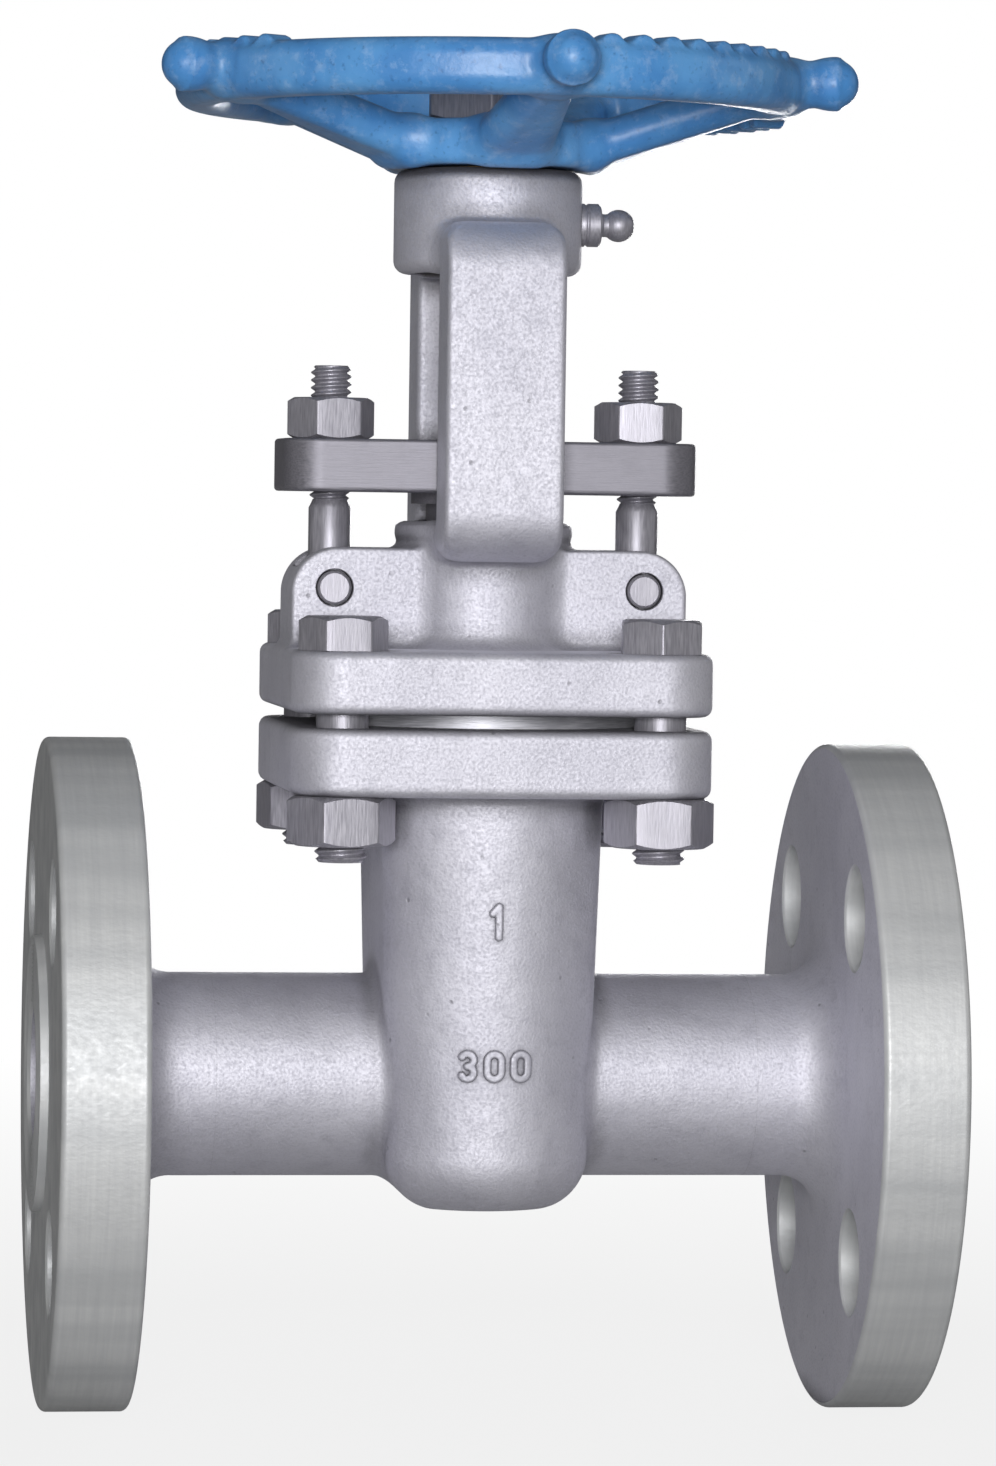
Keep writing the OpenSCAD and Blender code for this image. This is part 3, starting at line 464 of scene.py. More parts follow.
def raised_numbers(x, y, z):
    """The numbers as soft-edged strokes that follow the front of the barrel."""
    line = digit_one(x, z - bore_mark_z, bore_mark_h)
    level = z - class_mark_z
    line = np.minimum(line, digit_three(x + digit_step + 0.4, level, class_mark_h))
    line = np.minimum(line, digit_zero(x + 0.4, level, class_mark_h))
    line = np.minimum(line, digit_zero(x + 0.4 - digit_step, level, class_mark_h))
    skin_of_barrel = body_forging(x, y, z)
    solid = rounded_and(line - mark_stroke, skin_of_barrel - mark_proud, 0.5)
    return np.maximum(solid, -0.4 - skin_of_barrel)


def gland_plate(x, y, z):
    """The milled gland flange with its rounded ends and bolt holes."""
    outline = rectangle(x, y, gland_high[0], gland_high[1], gland_corner)
    solid = rounded_and(outline, between(z, gland_low[2], gland_high[2]), gland_edge)
    solid = rounded_cut(solid, np.hypot(np.abs(x) - pin_x, y) - eyebolt_hole_r, 0.3)
    solid = rounded_cut(solid, np.hypot(x, y) - gland_bore_r, bore_edge)
    seat = np.maximum(np.hypot(x, y) - follower_seat_r, z - gland_low[2] - follower_seat_h)
    return np.maximum(solid, -seat)


# Meshes

def skin(field, low, high, pitch):
    """Points, outward normals and quads of the surface where a field is zero."""
    axes = [np.arange(a, b + pitch, pitch, dtype=np.float32) for a, b in zip(low, high)]
    value = field(*np.meshgrid(*axes, indexing="ij", sparse=True)).astype(np.float32)
    inside = value < 0
    shape = np.array(inside.shape) - 1
    corners = [(i, j, k) for i in (0, 1) for j in (0, 1) for k in (0, 1)]
    filled = sum(inside[i:i + shape[0], j:j + shape[1], k:k + shape[2]].astype(np.int8)
                 for i, j, k in corners)
    cells = (filled > 0) & (filled < 8)
    cell = np.argwhere(cells)
    number = np.full(shape, -1, np.int64)
    number[cells] = np.arange(len(cell))
    total, count = np.zeros((len(cell), 3)), np.zeros((len(cell), 1))
    for a in corners:
        for axis in range(3):
            if a[axis]:
                continue
            step = np.eye(3, dtype=int)[axis]
            va, vb = value[tuple((cell + a).T)], value[tuple((cell + a + step).T)]
            crossed = (va < 0) != (vb < 0)
            t = np.where(crossed, va / np.where(crossed, va - vb, 1), 0)[:, None]
            total += np.where(crossed[:, None], cell + a + t * step, 0)
            count += crossed[:, None]
    points = np.array([a[0] for a in axes]) + pitch * total / count
    quads = []
    for axis in range(3):
        u, v = np.eye(3, dtype=int)[(axis + 1) % 3], np.eye(3, dtype=int)[(axis + 2) % 3]
        step = np.eye(3, dtype=int)[axis]
        here = inside[:shape[0] + 1 - step[0], :shape[1] + 1 - step[1], :shape[2] + 1 - step[2]]
        there = inside[step[0]:, step[1]:, step[2]:]
        for leaving in (True, False):
            g = np.argwhere(here & ~there if leaving else there & ~here)
            ring = [number[tuple((g + o).T)] for o in (-u - v, -v, 0 * u, -u)]
            quads.append(np.stack(ring if leaving else ring[::-1], 1))
    for step in range(3):
        slope = gradient(field, points, 0.02)
        size = np.maximum((slope ** 2).sum(1), 0.1)
        move = (field(*points.T) / size)[:, None] * slope
        points -= np.clip(move, -pitch / 2, pitch / 2)
    normals = gradient(field, points, pitch * 0.35)
    normals /= np.linalg.norm(normals, axis=1)[:, None]
    return points, normals, np.concatenate(quads)


def gradient(field, points, reach):
    """Slope of a field at points, by differences over a reach in millimetres."""
    parts = []
    for axis in range(3):
        step = np.eye(3)[axis] * reach
        parts.append(field(*(points + step).T) - field(*(points - step).T))
    return np.stack(parts, 1) / (2 * reach)


def place(points):
    """Millimetres about the valve's centre to the frame's metres."""
    return (np.asarray(points, float) + (CENTRE_X, 0, 0)) * MM


def piece(name, points, faces, finish, body, nodes, normals=None):
    """Makes one piece of the valve, riding on a body and standing for CAD nodes."""
    mesh = bpy.data.meshes.new(name)
    mesh.from_pydata(place(points).tolist(), [], [list(map(int, f)) for f in faces])
    mesh.update()
    mesh.shade_smooth()
    if normals is not None:
        mesh.normals_split_custom_set_from_vertices(normals.tolist())
    else:
        mesh.set_sharp_from_angle(angle=radians(crease))
    obj = bpy.data.objects.new(name, mesh)
    bpy.context.scene.collection.objects.link(obj)
    mesh.materials.append(finishes[finish])
    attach(obj, body)
    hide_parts(*nodes)
    return obj


def joined(*parts):
    """Several (points, faces) as one."""
    points, faces, base = [], [], 0
    for p, f in parts:
        points.append(np.asarray(p, float))
        faces += [[base + i for i in face] for face in f]
        base += len(p)
    return np.concatenate(points), faces


def grid_faces(rows, columns, closed_rows=False):
    """Quads of a grid of points whose columns go round, and whose rows may close too."""
    faces = []
    for r in range(rows if closed_rows else rows - 1):
        a, b = r * columns, (r + 1) % rows * columns
        for c in range(columns):
            d = (c + 1) % columns
            faces.append((a + c, a + d, b + d, b + c))
    return faces


def turned(profile, sides, closed=True):
    """A body turned about Z from (radius, height) points, counterclockwise in the r-z plane."""
    angles = np.arange(sides) * 2 * pi / sides
    points = [(r * cos(a), r * sin(a), z) for r, z in profile for a in angles]
    faces = grid_faces(len(profile), sides, closed)
    if not closed:
        last = (len(profile) - 1) * sides
        faces += [list(range(sides))[::-1], [last + i for i in range(sides)]]
    return np.array(points), faces


def along_x(part, side=1):
    """Turns a part from the Z axis to the X axis, towards +X or -X."""
    points, faces = part
    x, y, z = points.T
    if side > 0:
        return np.stack((z, y, -x), 1), faces
    return np.stack((-z, y, x), 1), faces


def along_y(part):
    """Turns a part from the Z axis to the -Y axis."""
    points, faces = part
    x, y, z = points.T
    return np.stack((x, -z, y), 1), faces


def moved(part, x=0, y=0, z=0, turn=0):
    """Turns a part about Z by degrees, then moves it."""
    points, faces = part
    u, v = around(points[:, 0], points[:, 1], -turn)
    return np.stack((u + x, v + y, points[:, 2] + z), 1), faces


def arc(cx, cy, r, start, end, steps):
    """Points of an arc in the plane, angles in degrees."""
    return [(cx + r * cos(radians(start + (end - start) * i / steps)),
             cy + r * sin(radians(start + (end - start) * i / steps))) for i in range(steps + 1)]


def hexagon_line(across, corner):
    """Outline of a hexagon across its flats, its corners rounded, a flat facing +X."""
    line = []
    for k in range(6):
        a = 30 + 60 * k
        reach = (across / 2 - corner) / cos(radians(30))
        line += arc(reach * cos(radians(a)), reach * sin(radians(a)), corner, a - 30, a + 30, 4)
        flat = np.array(line[-1])
        nxt = np.array((across / 2 * cos(radians(a + 30)), across / 2 * sin(radians(a + 30))))
        other = 2 * nxt - flat
        line += [tuple(flat + (other - flat) * t) for t in (0.2, 0.35, 0.5, 0.65, 0.8)]
    return np.array(line)


def nut(across, height, bore_r, corner=0.45):
    """A hexagon nut with chamfered ends and a countersunk bore, a flat facing +X."""
    line = hexagon_line(across, corner)
    reach = np.hypot(*line.T)
    flat_r = across / 2 * 0.955
    fall = (reach - flat_r) * tan(radians(hexagon_chamfer))
    unit = line / reach[:, None]
    sink = 0.7
    rings = [(unit * (bore_r + sink), 0), (unit * flat_r, 0), (line, fall), (line, height - fall),
             (unit * flat_r, height), (unit * (bore_r + sink), height), (unit * bore_r, height - sink),
             (unit * bore_r, sink)]
    points = [(x, y, z) for xy, level in rings
              for (x, y), z in zip(xy, np.broadcast_to(level, len(line)))]
    return np.array(points), grid_faces(len(rings), len(line), True)


def bolt_head(across, height):
    """A hexagon bolt head, chamfered on top, its underside on z = 0."""
    line = hexagon_line(across, corner=0.5)
    reach = np.hypot(*line.T)
    flat_r = across / 2 * 0.93
    fall = (reach - flat_r) * tan(radians(hexagon_chamfer))
    unit = line / reach[:, None]
    rings = [(line, 0), (line, height - fall), (unit * flat_r, height), (unit * flat_r * 0.5, height)]
    points = [(x, y, z) for xy, level in rings
              for (x, y), z in zip(xy, np.broadcast_to(level, len(line)))]
    faces = grid_faces(len(rings), len(line))
    n = len(line)
    faces += [list(range(n))[::-1], [(len(rings) - 1) * n + i for i in range(n)]]
    return np.array(points), faces


def threaded(radius, depth, lead, low, high, tip=0.8, foot=0.8, hand=1, flat=0.15, sides=48):
    """A threaded rod about Z between two heights, with chamfered ends."""
    levels = int((high - low) / lead * 16) + 1
    heights = np.linspace(low, high, levels)
    points = []
    for z in heights:
        limit = min(radius, radius - depth + max(high - z, 0) * depth / tip,
                    radius - depth + max(z - low, 0) * depth / foot)
        for s in range(sides):
            a = 2 * pi * s / sides
            phase = (z / lead - hand * s / sides) % 1
            crest = min(max((abs(phase - 0.5) * 2 - flat) / (1 - 2 * flat), 0), 1)
            r = min(radius - depth * crest, limit)
            points.append((r * cos(a), r * sin(a), z))
    faces = grid_faces(levels, sides)
    last = (levels - 1) * sides
    faces += [list(range(sides))[::-1], [last + i for i in range(sides)]]
    return np.array(points), faces


def block(low, high, edge):
    """A box with its edges broken."""
    lo, hi = np.array(low, float), np.array(high, float)
    rings = []
    for z, e in ((lo[2], edge), (lo[2] + edge, 0), (hi[2] - edge, 0), (hi[2], edge)):
        x0, y0, x1, y1 = lo[0] + e, lo[1] + e, hi[0] - e, hi[1] - e
        c = edge
        rings += [(x0 + c, y0, z), (x1 - c, y0, z), (x1, y0 + c, z), (x1, y1 - c, z),
                  (x1 - c, y1, z), (x0 + c, y1, z), (x0, y1 - c, z), (x0, y0 + c, z)]
    faces = grid_faces(4, 8) + [list(range(8))[::-1], list(range(24, 32))]
    return np.array(rings), faces


# Materials

def linear(hex_colour):
    """An sRGB hex colour as the linear colour that Blender works in."""
    channels = [int(hex_colour[i:i + 2], 16) / 255 for i in (1, 3, 5)]
    return [c / 12.92 if c <= 0.04045 else ((c + 0.055) / 1.055) ** 2.4 for c in channels] + [1]


def add(tree, kind, inputs=None, **settings):
    """Adds one node with its settings; inputs are sockets to link or values to set."""
    node = tree.nodes.new(kind)
    for key, value in settings.items():
        setattr(node, key, value)
    for key, value in (inputs or {}).items():
        if isinstance(value, bpy.types.NodeSocket):
            tree.links.new(value, node.inputs[key])
        else:
            node.inputs[key].default_value = value
    return node


def new_finish(slot, name):
    """An empty material for a slot: its tree, its shader and a point in millimetres."""
    material = bpy.data.materials.new(name)
    material.use_nodes = True
    tree = material.node_tree
    tree.nodes.clear()
    shader = add(tree, "ShaderNodeBsdfPrincipled")
    add(tree, "ShaderNodeOutputMaterial", {"Surface": shader.outputs[0]})
    where = add(tree, "ShaderNodeTexCoord").outputs["Object"]
    point = add(tree, "ShaderNodeVectorMath", {0: where, 1: (1 / MM,) * 3}, operation="MULTIPLY")
    finishes[slot] = material
    return tree, shader, point.outputs[0]


def speckle(tree, point, size, detail, rough=0.5, stretch=None):
    """Noise whose grains are about size millimetres, longer along a stretched axis."""
    if stretch:
        point = add(tree, "ShaderNodeVectorMath", {0: point, 1: stretch}, operation="MULTIPLY").outputs[0]
    noise = add(tree, "ShaderNodeTexNoise",
                {"Vector": point, "Scale": 1 / size, "Detail": detail, "Roughness": rough})
    return noise.outputs["Fac"]


def between_values(tree, factor, low, high, start=0.3, stop=0.7):
    """Spreads a noise factor over a range of values."""
    return add(tree, "ShaderNodeMapRange", {
        "Value": factor, "From Min": start, "From Max": stop, "To Min": low, "To Max": high}).outputs[0]


def mixed(tree, factor, first, second):
    """Mixes two colours, given as sockets or as hex colours."""
    first, second = (linear(c) if isinstance(c, str) else c for c in (first, second))
    mix = add(tree, "ShaderNodeMix", data_type="RGBA")
    for key, value in ((0, factor), (6, first), (7, second)):
        if isinstance(value, bpy.types.NodeSocket):
            tree.links.new(value, mix.inputs[key])
        else:
            mix.inputs[key].default_value = value
    return mix.outputs[2]


def hollows(tree, reach, most):
    """Painted shade for corners and hollows: how closed in a point is, as a share up to most."""
    open_share = add(tree, "ShaderNodeAmbientOcclusion", {"Distance": reach * MM}, samples=6).outputs["AO"]
    return between_values(tree, open_share, most, 0, 0.5, 1)


def bumped(tree, shader, heights):
    """Stacks (height socket, depth in millimetres) bumps and gives them to the shader."""
    normal = None
    for height, depth in heights:
        inputs = {"Height": height, "Strength": 1, "Distance": depth * MM}
        if normal:
            inputs["Normal"] = normal
        normal = add(tree, "ShaderNodeBump", inputs).outputs[0]
    tree.links.new(normal, shader.inputs["Normal"])


finishes = {}


def blasted_steel():
    """Stainless forging, pickled and shot blasted: pale, matt and finely dimpled."""
    tree, shader, point = new_finish("forged_steel", "blasted_forged_stainless")
    cloud = between_values(tree, speckle(tree, point, 22, 3), 0, 1, 0.35, 0.65)
    colour = mixed(tree, cloud, "#d6d5de", "#e0dfe7")
    stain = between_values(tree, speckle(tree, point, 5, 5, 0.7), 0, 0.35, 0.52, 0.75)
    colour = mixed(tree, stain, colour, "#b3b2bd")
    # Blasting grit is 0.3 mm; it is drawn at 0.55 mm to show at this size of picture
    grit = speckle(tree, point, 0.55, 1)
    dots = between_values(tree, grit, 0, 0.2, 0.5, 0.8)
    colour = mixed(tree, dots, colour, "#a4a4ae")
    pit = add(tree, "ShaderNodeTexVoronoi", {"Vector": point, "Scale": 1 / 7})
    pits = between_values(tree, pit.outputs["Distance"], 1, 0, 0.02, 0.07)
    colour = mixed(tree, between_values(tree, pits, 0, 0.45, 0, 1), colour, "#77757f")
    # Painted shade: corners, creases and hollows are darkened towards a dark grey
    colour = mixed(tree, hollows(tree, 5, 0.75), colour, "#4a484e")
    tree.links.new(colour, shader.inputs["Base Color"])
    tree.links.new(between_values(tree, grit, 0.62, 0.74), shader.inputs["Roughness"])
    shader.inputs["Metallic"].default_value = 0.9
    lump = speckle(tree, point, 9, 2)
    bumped(tree, shader, ((lump, 0.35), (grit, 0.06), (pits, -0.1)))


def turned_flange():
    """The same stainless, turned on the rim and faces of the end flanges: dull, with soft bands."""
    tree, shader, point = new_finish("turned_rim", "turned_stainless")
    # Feed marks are 0.2 mm apart; they are drawn 0.8 mm apart to show at this size
    rings = speckle(tree, point, 1.2, 2, stretch=(1.5, 0.06, 0.06))
    colour = mixed(tree, between_values(tree, rings, 0, 1), "#d6d7d8", "#e0e1e1")
    bands = between_values(tree, speckle(tree, point, 9, 2, stretch=(0.08, 1, 1)), 0, 0.6, 0.4, 0.62)
    colour = mixed(tree, bands, colour, "#c0c2c4")
    tree.links.new(colour, shader.inputs["Base Color"])
    grain = speckle(tree, point, 0.9, 2, stretch=(0.6, 1, 1))
    tree.links.new(between_values(tree, grain, 0.48, 0.6), shader.inputs["Roughness"])
    shader.inputs["Metallic"].default_value = 0.35
    bumped(tree, shader, ((rings, 0.006), (grain, 0.05)))


def plain_steel(slot, name, light, dark, rough, metal, grain, depth, stretch):
    """Machined or drawn steel: fine marks that run one way, with soft clouds."""
    tree, shader, point = new_finish(slot, name)
    marks = speckle(tree, point, grain, 2, stretch=stretch)
    colour = mixed(tree, between_values(tree, marks, 0, 1), dark, light)
    cloud = between_values(tree, speckle(tree, point, 6, 3), 0, 0.4, 0.45, 0.7)
    colour = mixed(tree, cloud, colour, dark)
    tree.links.new(colour, shader.inputs["Base Color"])
    tree.links.new(between_values(tree, marks, rough - 0.06, rough + 0.06), shader.inputs["Roughness"])
    shader.inputs["Metallic"].default_value = metal
    bumped(tree, shader, ((marks, depth),))


def pressed_graphite():
    """Pressed graphite packing: near black, soft sheen, braided look."""
    tree, shader, point = new_finish("graphite", "pressed_graphite")
    flake = speckle(tree, point, 0.6, 2, stretch=(1, 1, 3))
    tree.links.new(mixed(tree, between_values(tree, flake, 0, 1), "#2a2a2d", "#4a4a4e"),
                   shader.inputs["Base Color"])
    tree.links.new(between_values(tree, flake, 0.45, 0.7), shader.inputs["Roughness"])
    bumped(tree, shader, ((flake, 0.08),))


def blue_enamel():
    """Enamel brushed over rough cast iron: broken gloss, paler chalky patches, dark flecks."""
    tree, shader, point = new_finish("wheel_paint", "blue_enamel_on_cast_iron")
    cloud = between_values(tree, speckle(tree, point, 12, 3), 0, 1, 0.4, 0.62)
    colour = mixed(tree, cloud, "#4f95da", "#66abea")
    chalk = between_values(tree, speckle(tree, point, 3.2, 5, 0.75), 0, 0.55, 0.52, 0.74)
    colour = mixed(tree, chalk, colour, "#b0d0f5")
    fleck = between_values(tree, speckle(tree, point, 1.1, 3), 0, 0.5, 0.6, 0.75)
    colour = mixed(tree, fleck, colour, "#3468a8")
    # Painted shade: corners and hollows, such as the spoke roots, are darkened towards a dark blue
    colour = mixed(tree, hollows(tree, 5, 0.8), colour, "#1f3552")
    tree.links.new(colour, shader.inputs["Base Color"])
    tree.links.new(between_values(tree, chalk, 0.4, 0.6, 0, 0.5), shader.inputs["Roughness"])
    shader.inputs["Coat Weight"].default_value = 0.25
    shader.inputs["Coat Roughness"].default_value = 0.35
    # Sand cast skin has lumps of 2 to 8 mm under the paint, and brush marks finer than that
    skin_lumps = speckle(tree, point, 2.6, 3, 0.6)
    bumped(tree, shader, ((speckle(tree, point, 8, 2), 0.4), (skin_lumps, 0.16), (fleck, -0.02)))


blasted_steel()
turned_flange()
plain_steel("seat_steel", "lapped_seat_steel", "#dfe3e3", "#c9cdce", 0.22, 0.9, 0.5, 0.01, (1, 1, 1))
plain_steel("stem_steel", "turned_and_polished_stem", "#e2e3e5", "#bfc1c6", 0.25, 0.8, 0.5, 0.015,
            (0.1, 0.1, 2))
plain_steel("bushing_steel", "turned_bushing_steel", "#c4c4c6", "#a5a5a9", 0.35, 0.8, 0.5, 0.02,
            (0.1, 0.1, 2))
plain_steel("gasket_steel", "wound_gasket_strip", "#dcdce2", "#a8a8b0", 0.45, 0.5, 0.4, 0.04,
            (0.1, 0.1, 3))
plain_steel("bolt_steel", "bright_drawn_bolt_steel", "#bcbac2", "#9b99a2", 0.48, 0.6, 0.5, 0.03,
            (1.5, 1.5, 0.15))
plain_steel("gland_steel", "milled_gland_steel", "#9e9ca4", "#84828a", 0.56, 0.8, 0.45, 0.03,
            (0.08, 1.2, 1.6))
plain_steel("sleeve_bronze", "turned_bronze", "#c9a468", "#a07c44", 0.32, 0.85, 0.5, 0.02,
            (0.1, 0.1, 2))
pressed_graphite()
blue_enamel()

# Every CAD mesh takes the finish of its slot; those that no piece replaces are shown
for node, obj in frame["nodes"].items():
    slot = next(p["material_slot"] for p in frame["record"]["subparts"] if p["node"] == node)
    obj.data.materials.clear()
    obj.data.materials.append(finishes[slot])


# Pieces of the valve

def forging(name, field, low, high, finish, body, nodes, pitch):
    """A rounded forging or casting as a skin of its distance field."""
    margin = 1.5
    points, normals, faces = skin(field, np.array(low) - margin, np.array(high) + margin, pitch)
    piece(name, points, faces, finish, body, nodes, normals)


forging("body_forging", body_forging, (-seam_x - seam_lap, -half_square, -barrel_low),
        (seam_x + seam_lap, half_square, body_top), "forged_steel", "root", ["body"], pitch=0.85)
forging("bonnet_forging", bonnet_forging, bonnet_low, bonnet_high, "forged_steel", "root",
        ["bonnet"], pitch=0.66)
forging("size_and_class_numbers", raised_numbers, (-8, -barrel_half_y - 0.5, class_mark_z - 4),
        (8, -barrel_half_y + 3.5, bore_mark_z + 5), "forged_steel", "root", ["body"], pitch=0.24)
forging("handwheel_casting", handwheel_casting, wheel_low, wheel_high, "wheel_paint", "handwheel",
        ["handwheel"], pitch=0.56)
forging("gland_plate", gland_plate, gland_low, gland_high, "gland_steel", "gland",
        ["gland_flange"], pitch=0.45)


def end_flange(name, side):
    """Pipe flange with neck, fillet, serrated raised face, bore and four bolt holes."""
    back = face_x - raised_h - flange_t
    front = face_x - raised_h
    profile = [(port_r - seam_proud, seam_x), (neck_r + seam_proud, seam_x)]
    profile += [(neck_r + seam_proud, back - neck_fillet - 0.4)]
    profile += arc(neck_r + neck_fillet, back - neck_fillet, neck_fillet, 180, 90, 14)
    profile += [(neck_r + neck_fillet + 0.6, back), (flange_r - flange_edge - 0.6, back)]
    profile += arc(flange_r - flange_edge, back + flange_edge, flange_edge, -90, 0, 6)
    profile += arc(flange_r - flange_edge, front - flange_edge, flange_edge, 0, 90, 6)
    profile += [(flange_r - flange_edge - 0.6, front), (raised_r + 0.7, front), (raised_r + 0.2, front)]
    profile += arc(raised_r - 0.3, face_x - 0.3, 0.3, 0, 90, 3)
    r = serration_out_r
    while r > serration_in_r:
        profile += [(r, face_x), (r - serration_pitch / 2, face_x - serration_depth)]
        r -= serration_pitch
    profile += [(port_r + 0.6, face_x), (port_r - seam_proud, face_x - 0.6)]
    part = along_x(turned(profile, 192), side)
    obj = piece(name, *part, "forged_steel", "root", ["body"])
    obj.data.materials.append(finishes["turned_rim"])
    for poly in obj.data.polygons:
        centre = np.array(poly.center) / MM - (CENTRE_X, 0, 0)
        r = np.hypot(centre[1], centre[2])
        out = abs(centre[0])
        if out > front - 0.01 or (r > flange_r - flange_edge - 0.8 and out > back + 0.05):
            poly.material_index = 1
    holes = []
    for a in np.radians((45, 135, 225, 315)):
        drill = turned([(0.001, back - 2), (bolt_hole_r + 1.9, back - 2),
                        (bolt_hole_r + bolt_hole_edge, back - 0.01), (bolt_hole_r, back + bolt_hole_edge),
                        (bolt_hole_r, front - bolt_hole_edge), (bolt_hole_r + bolt_hole_edge, front + 0.01),
                        (bolt_hole_r + 1.9, front + 2), (0.001, front + 2)], 64, False)
        p, f = along_x(drill, side)
        p[:, 1] += bolt_circle_r * cos(a)
        p[:, 2] += bolt_circle_r * sin(a)
        holes.append((p, f))
    p, f = joined(*holes)
    mesh = bpy.data.meshes.new("drills")
    mesh.from_pydata(place(p).tolist(), [], f)
    drills = bpy.data.objects.new("drills", mesh)
    mesh.materials.append(finishes["turned_rim"])
    bpy.context.scene.collection.objects.link(drills)
    cut = obj.modifiers.new("bolt holes", "BOOLEAN")
    cut.operation, cut.solver, cut.object = "DIFFERENCE", "EXACT", drills
    bpy.context.view_layer.update()
    done = bpy.data.meshes.new_from_object(obj.evaluated_get(bpy.context.evaluated_depsgraph_get()))
    obj.modifiers.clear()
    obj.data = done
    done.shade_smooth()
    done.set_sharp_from_angle(angle=radians(flange_crease))
    bpy.data.objects.remove(drills)
    even = obj.modifiers.new("even shading", "WEIGHTED_NORMAL")
    even.keep_sharp = True


end_flange("inlet_flange", -1)
end_flange("outlet_flange", 1)


def fasteners():
    """Bonnet bolts and nuts, eyebolts with their pins and nuts, and the handwheel nut."""
    heads, nuts = [], []
    head_turns = {(-1, -1): -88, (1, -1): -67, (-1, 1): 96, (1, 1): 80}
    nut_turns = {(-1, -1): -84, (1, -1): -93, (-1, 1): 70, (1, 1): 110}
    for (sx, sy), turn in head_turns.items():
        at = dict(x=sx * bolt_at, y=sy * bolt_at)
        hexagon = bolt_head(small_hexagon, bolts_high[2] - bonnet_top)
        heads.append(moved(hexagon, z=bonnet_top, turn=turn, **at))
        heads.append(moved(turned([(bolt_r, nuts_low[2] + 1), (bolt_r, bonnet_top)], 48, False), **at))
        heads.append(moved(threaded(bolt_r, thread_depth, bolt_lead, bolts_low[2], nuts_low[2] + 2), **at))
        nuts.append(moved(nut(bonnet_nut_hexagon, nuts_high[2] - nuts_low[2], bolt_r + clearance),
                          z=nuts_low[2], turn=nut_turns[sx, sy], **at))
    piece("bonnet_bolts_with_thread", *joined(*heads), "bolt_steel", "root", ["bonnet_bolts"])
    piece("bonnet_nuts_chamfered", *joined(*nuts), "bolt_steel", "root", ["bonnet_nuts"])

    thread_z = eyes_high[2] - eyebolt_thread
    eyes, pins, nuts = [], [], []
    for sx, turn in ((-1, -83.7), (1, -94.2)):
        eye = [(pin_r + clearance, -eye_half), (eye_r - eye_edge, -eye_half),
               *arc(eye_r - eye_edge, eye_edge - eye_half, eye_edge, -90, 0, 4),
               *arc(eye_r - eye_edge, eye_half - eye_edge, eye_edge, 0, 90, 4),
               (pin_r + clearance, eye_half)]
        p, f = along_y(turned(eye, 48))
        eyes.append((p + (sx * pin_x, 0, pin_z), f))
        shank = [(eyebolt_r, pin_z + 4.2), (eyebolt_r, thread_z - 1.2),
                 (eyebolt_r - 0.45, thread_z - 0.3), (eyebolt_r - thread_depth, thread_z + 0.4)]
        eyes.append(moved(turned(shank, 48, False), x=sx * pin_x))
        screw = threaded(eyebolt_r - 0.15, thread_depth, eyebolt_lead, thread_z, eyes_high[2])
        eyes.append(moved(screw, x=sx * pin_x))
        end = pins_high[1]
        pin = [(0.001, -end), (pin_r - 0.5, -end), (pin_r, -end + 0.5), (pin_r, end - 0.5),
               (pin_r - 0.5, end), (0.001, end)]
        p, f = along_y(turned(pin, 48, False))
        pins.append((p + (sx * pin_x, 0, pin_z), f))
        height = gland_nuts_high[2] - gland_nuts_low[2]
        nuts.append(moved(nut(small_hexagon, height, eyebolt_r + clearance),
                          x=sx * pin_x, z=gland_nuts_low[2], turn=turn))
    piece("eyebolts_with_thread", *joined(*eyes), "bolt_steel", "root", ["gland_eyebolts"])
    piece("eyebolt_pins_chamfered", *joined(*pins), "bolt_steel", "root", ["eyebolt_pins"])
    piece("gland_nuts_chamfered", *joined(*nuts), "bolt_steel", "gland", ["gland_nuts"])

    low, high = wheel_nut_low[2], wheel_nut_high[2]
    part = moved(nut(wheel_nut_hexagon, high - low, sleeve_thread_r + clearance, 0.7), z=low, turn=-125.6)
    piece("handwheel_nut_chamfered", *part, "bolt_steel", "handwheel", ["handwheel_nut"])


def pin_seats():
    """Spot faces round the pin holes, which leave a dark ring of clearance at each pin end."""
    rings = []
    for sx in (-1, 1):
        for sy in (-1, 1):
            edge, wall = pin_r + 0.28, pin_r + 1.7
            ring = [(edge, -2.5), (wall, -2.5), (wall, seam_proud), (edge + 0.15, seam_proud),
                    (edge, -0.15)]
            p, f = along_y(turned(ring, 64))
            if sy > 0:
                p = p * (-1, -1, 1)
            rings.append((p + (sx * pin_x, sy * lug_y, pin_z), f))
    piece("pin_hole_edges", *joined(*rings), "forged_steel", "root", ["bonnet"])


def stem():
    """Stem with T-head, backseat collar, polished length and a left-hand power thread."""
    foot = stem_low[2]
    head = block((-head_half[0], -head_half[1], foot), (*head_half, foot + head_h), 0.4)
    shaft = [(stem_neck_r, foot + 3), (stem_neck_r, stem_neck_top), (stem_r, stem_neck_top),
             (stem_r, collar_low), (collar_r - collar_edge, collar_low),
             (collar_r, collar_low + collar_edge), (collar_r, collar_high), (stem_r, cone_top),
             (stem_r, power_low - 0.6), (stem_r - 1, power_low + 0.4)]
    smooth = turned(shaft, 64, False)
    screw = threaded(stem_r, power_depth, power_lead, power_low, stem_high[2],
                     tip=1.5, foot=1, hand=-1, flat=0.2, sides=64)
    piece("stem_with_power_thread", *joined(head, smooth, screw), "stem_steel", "stem", ["stem"])


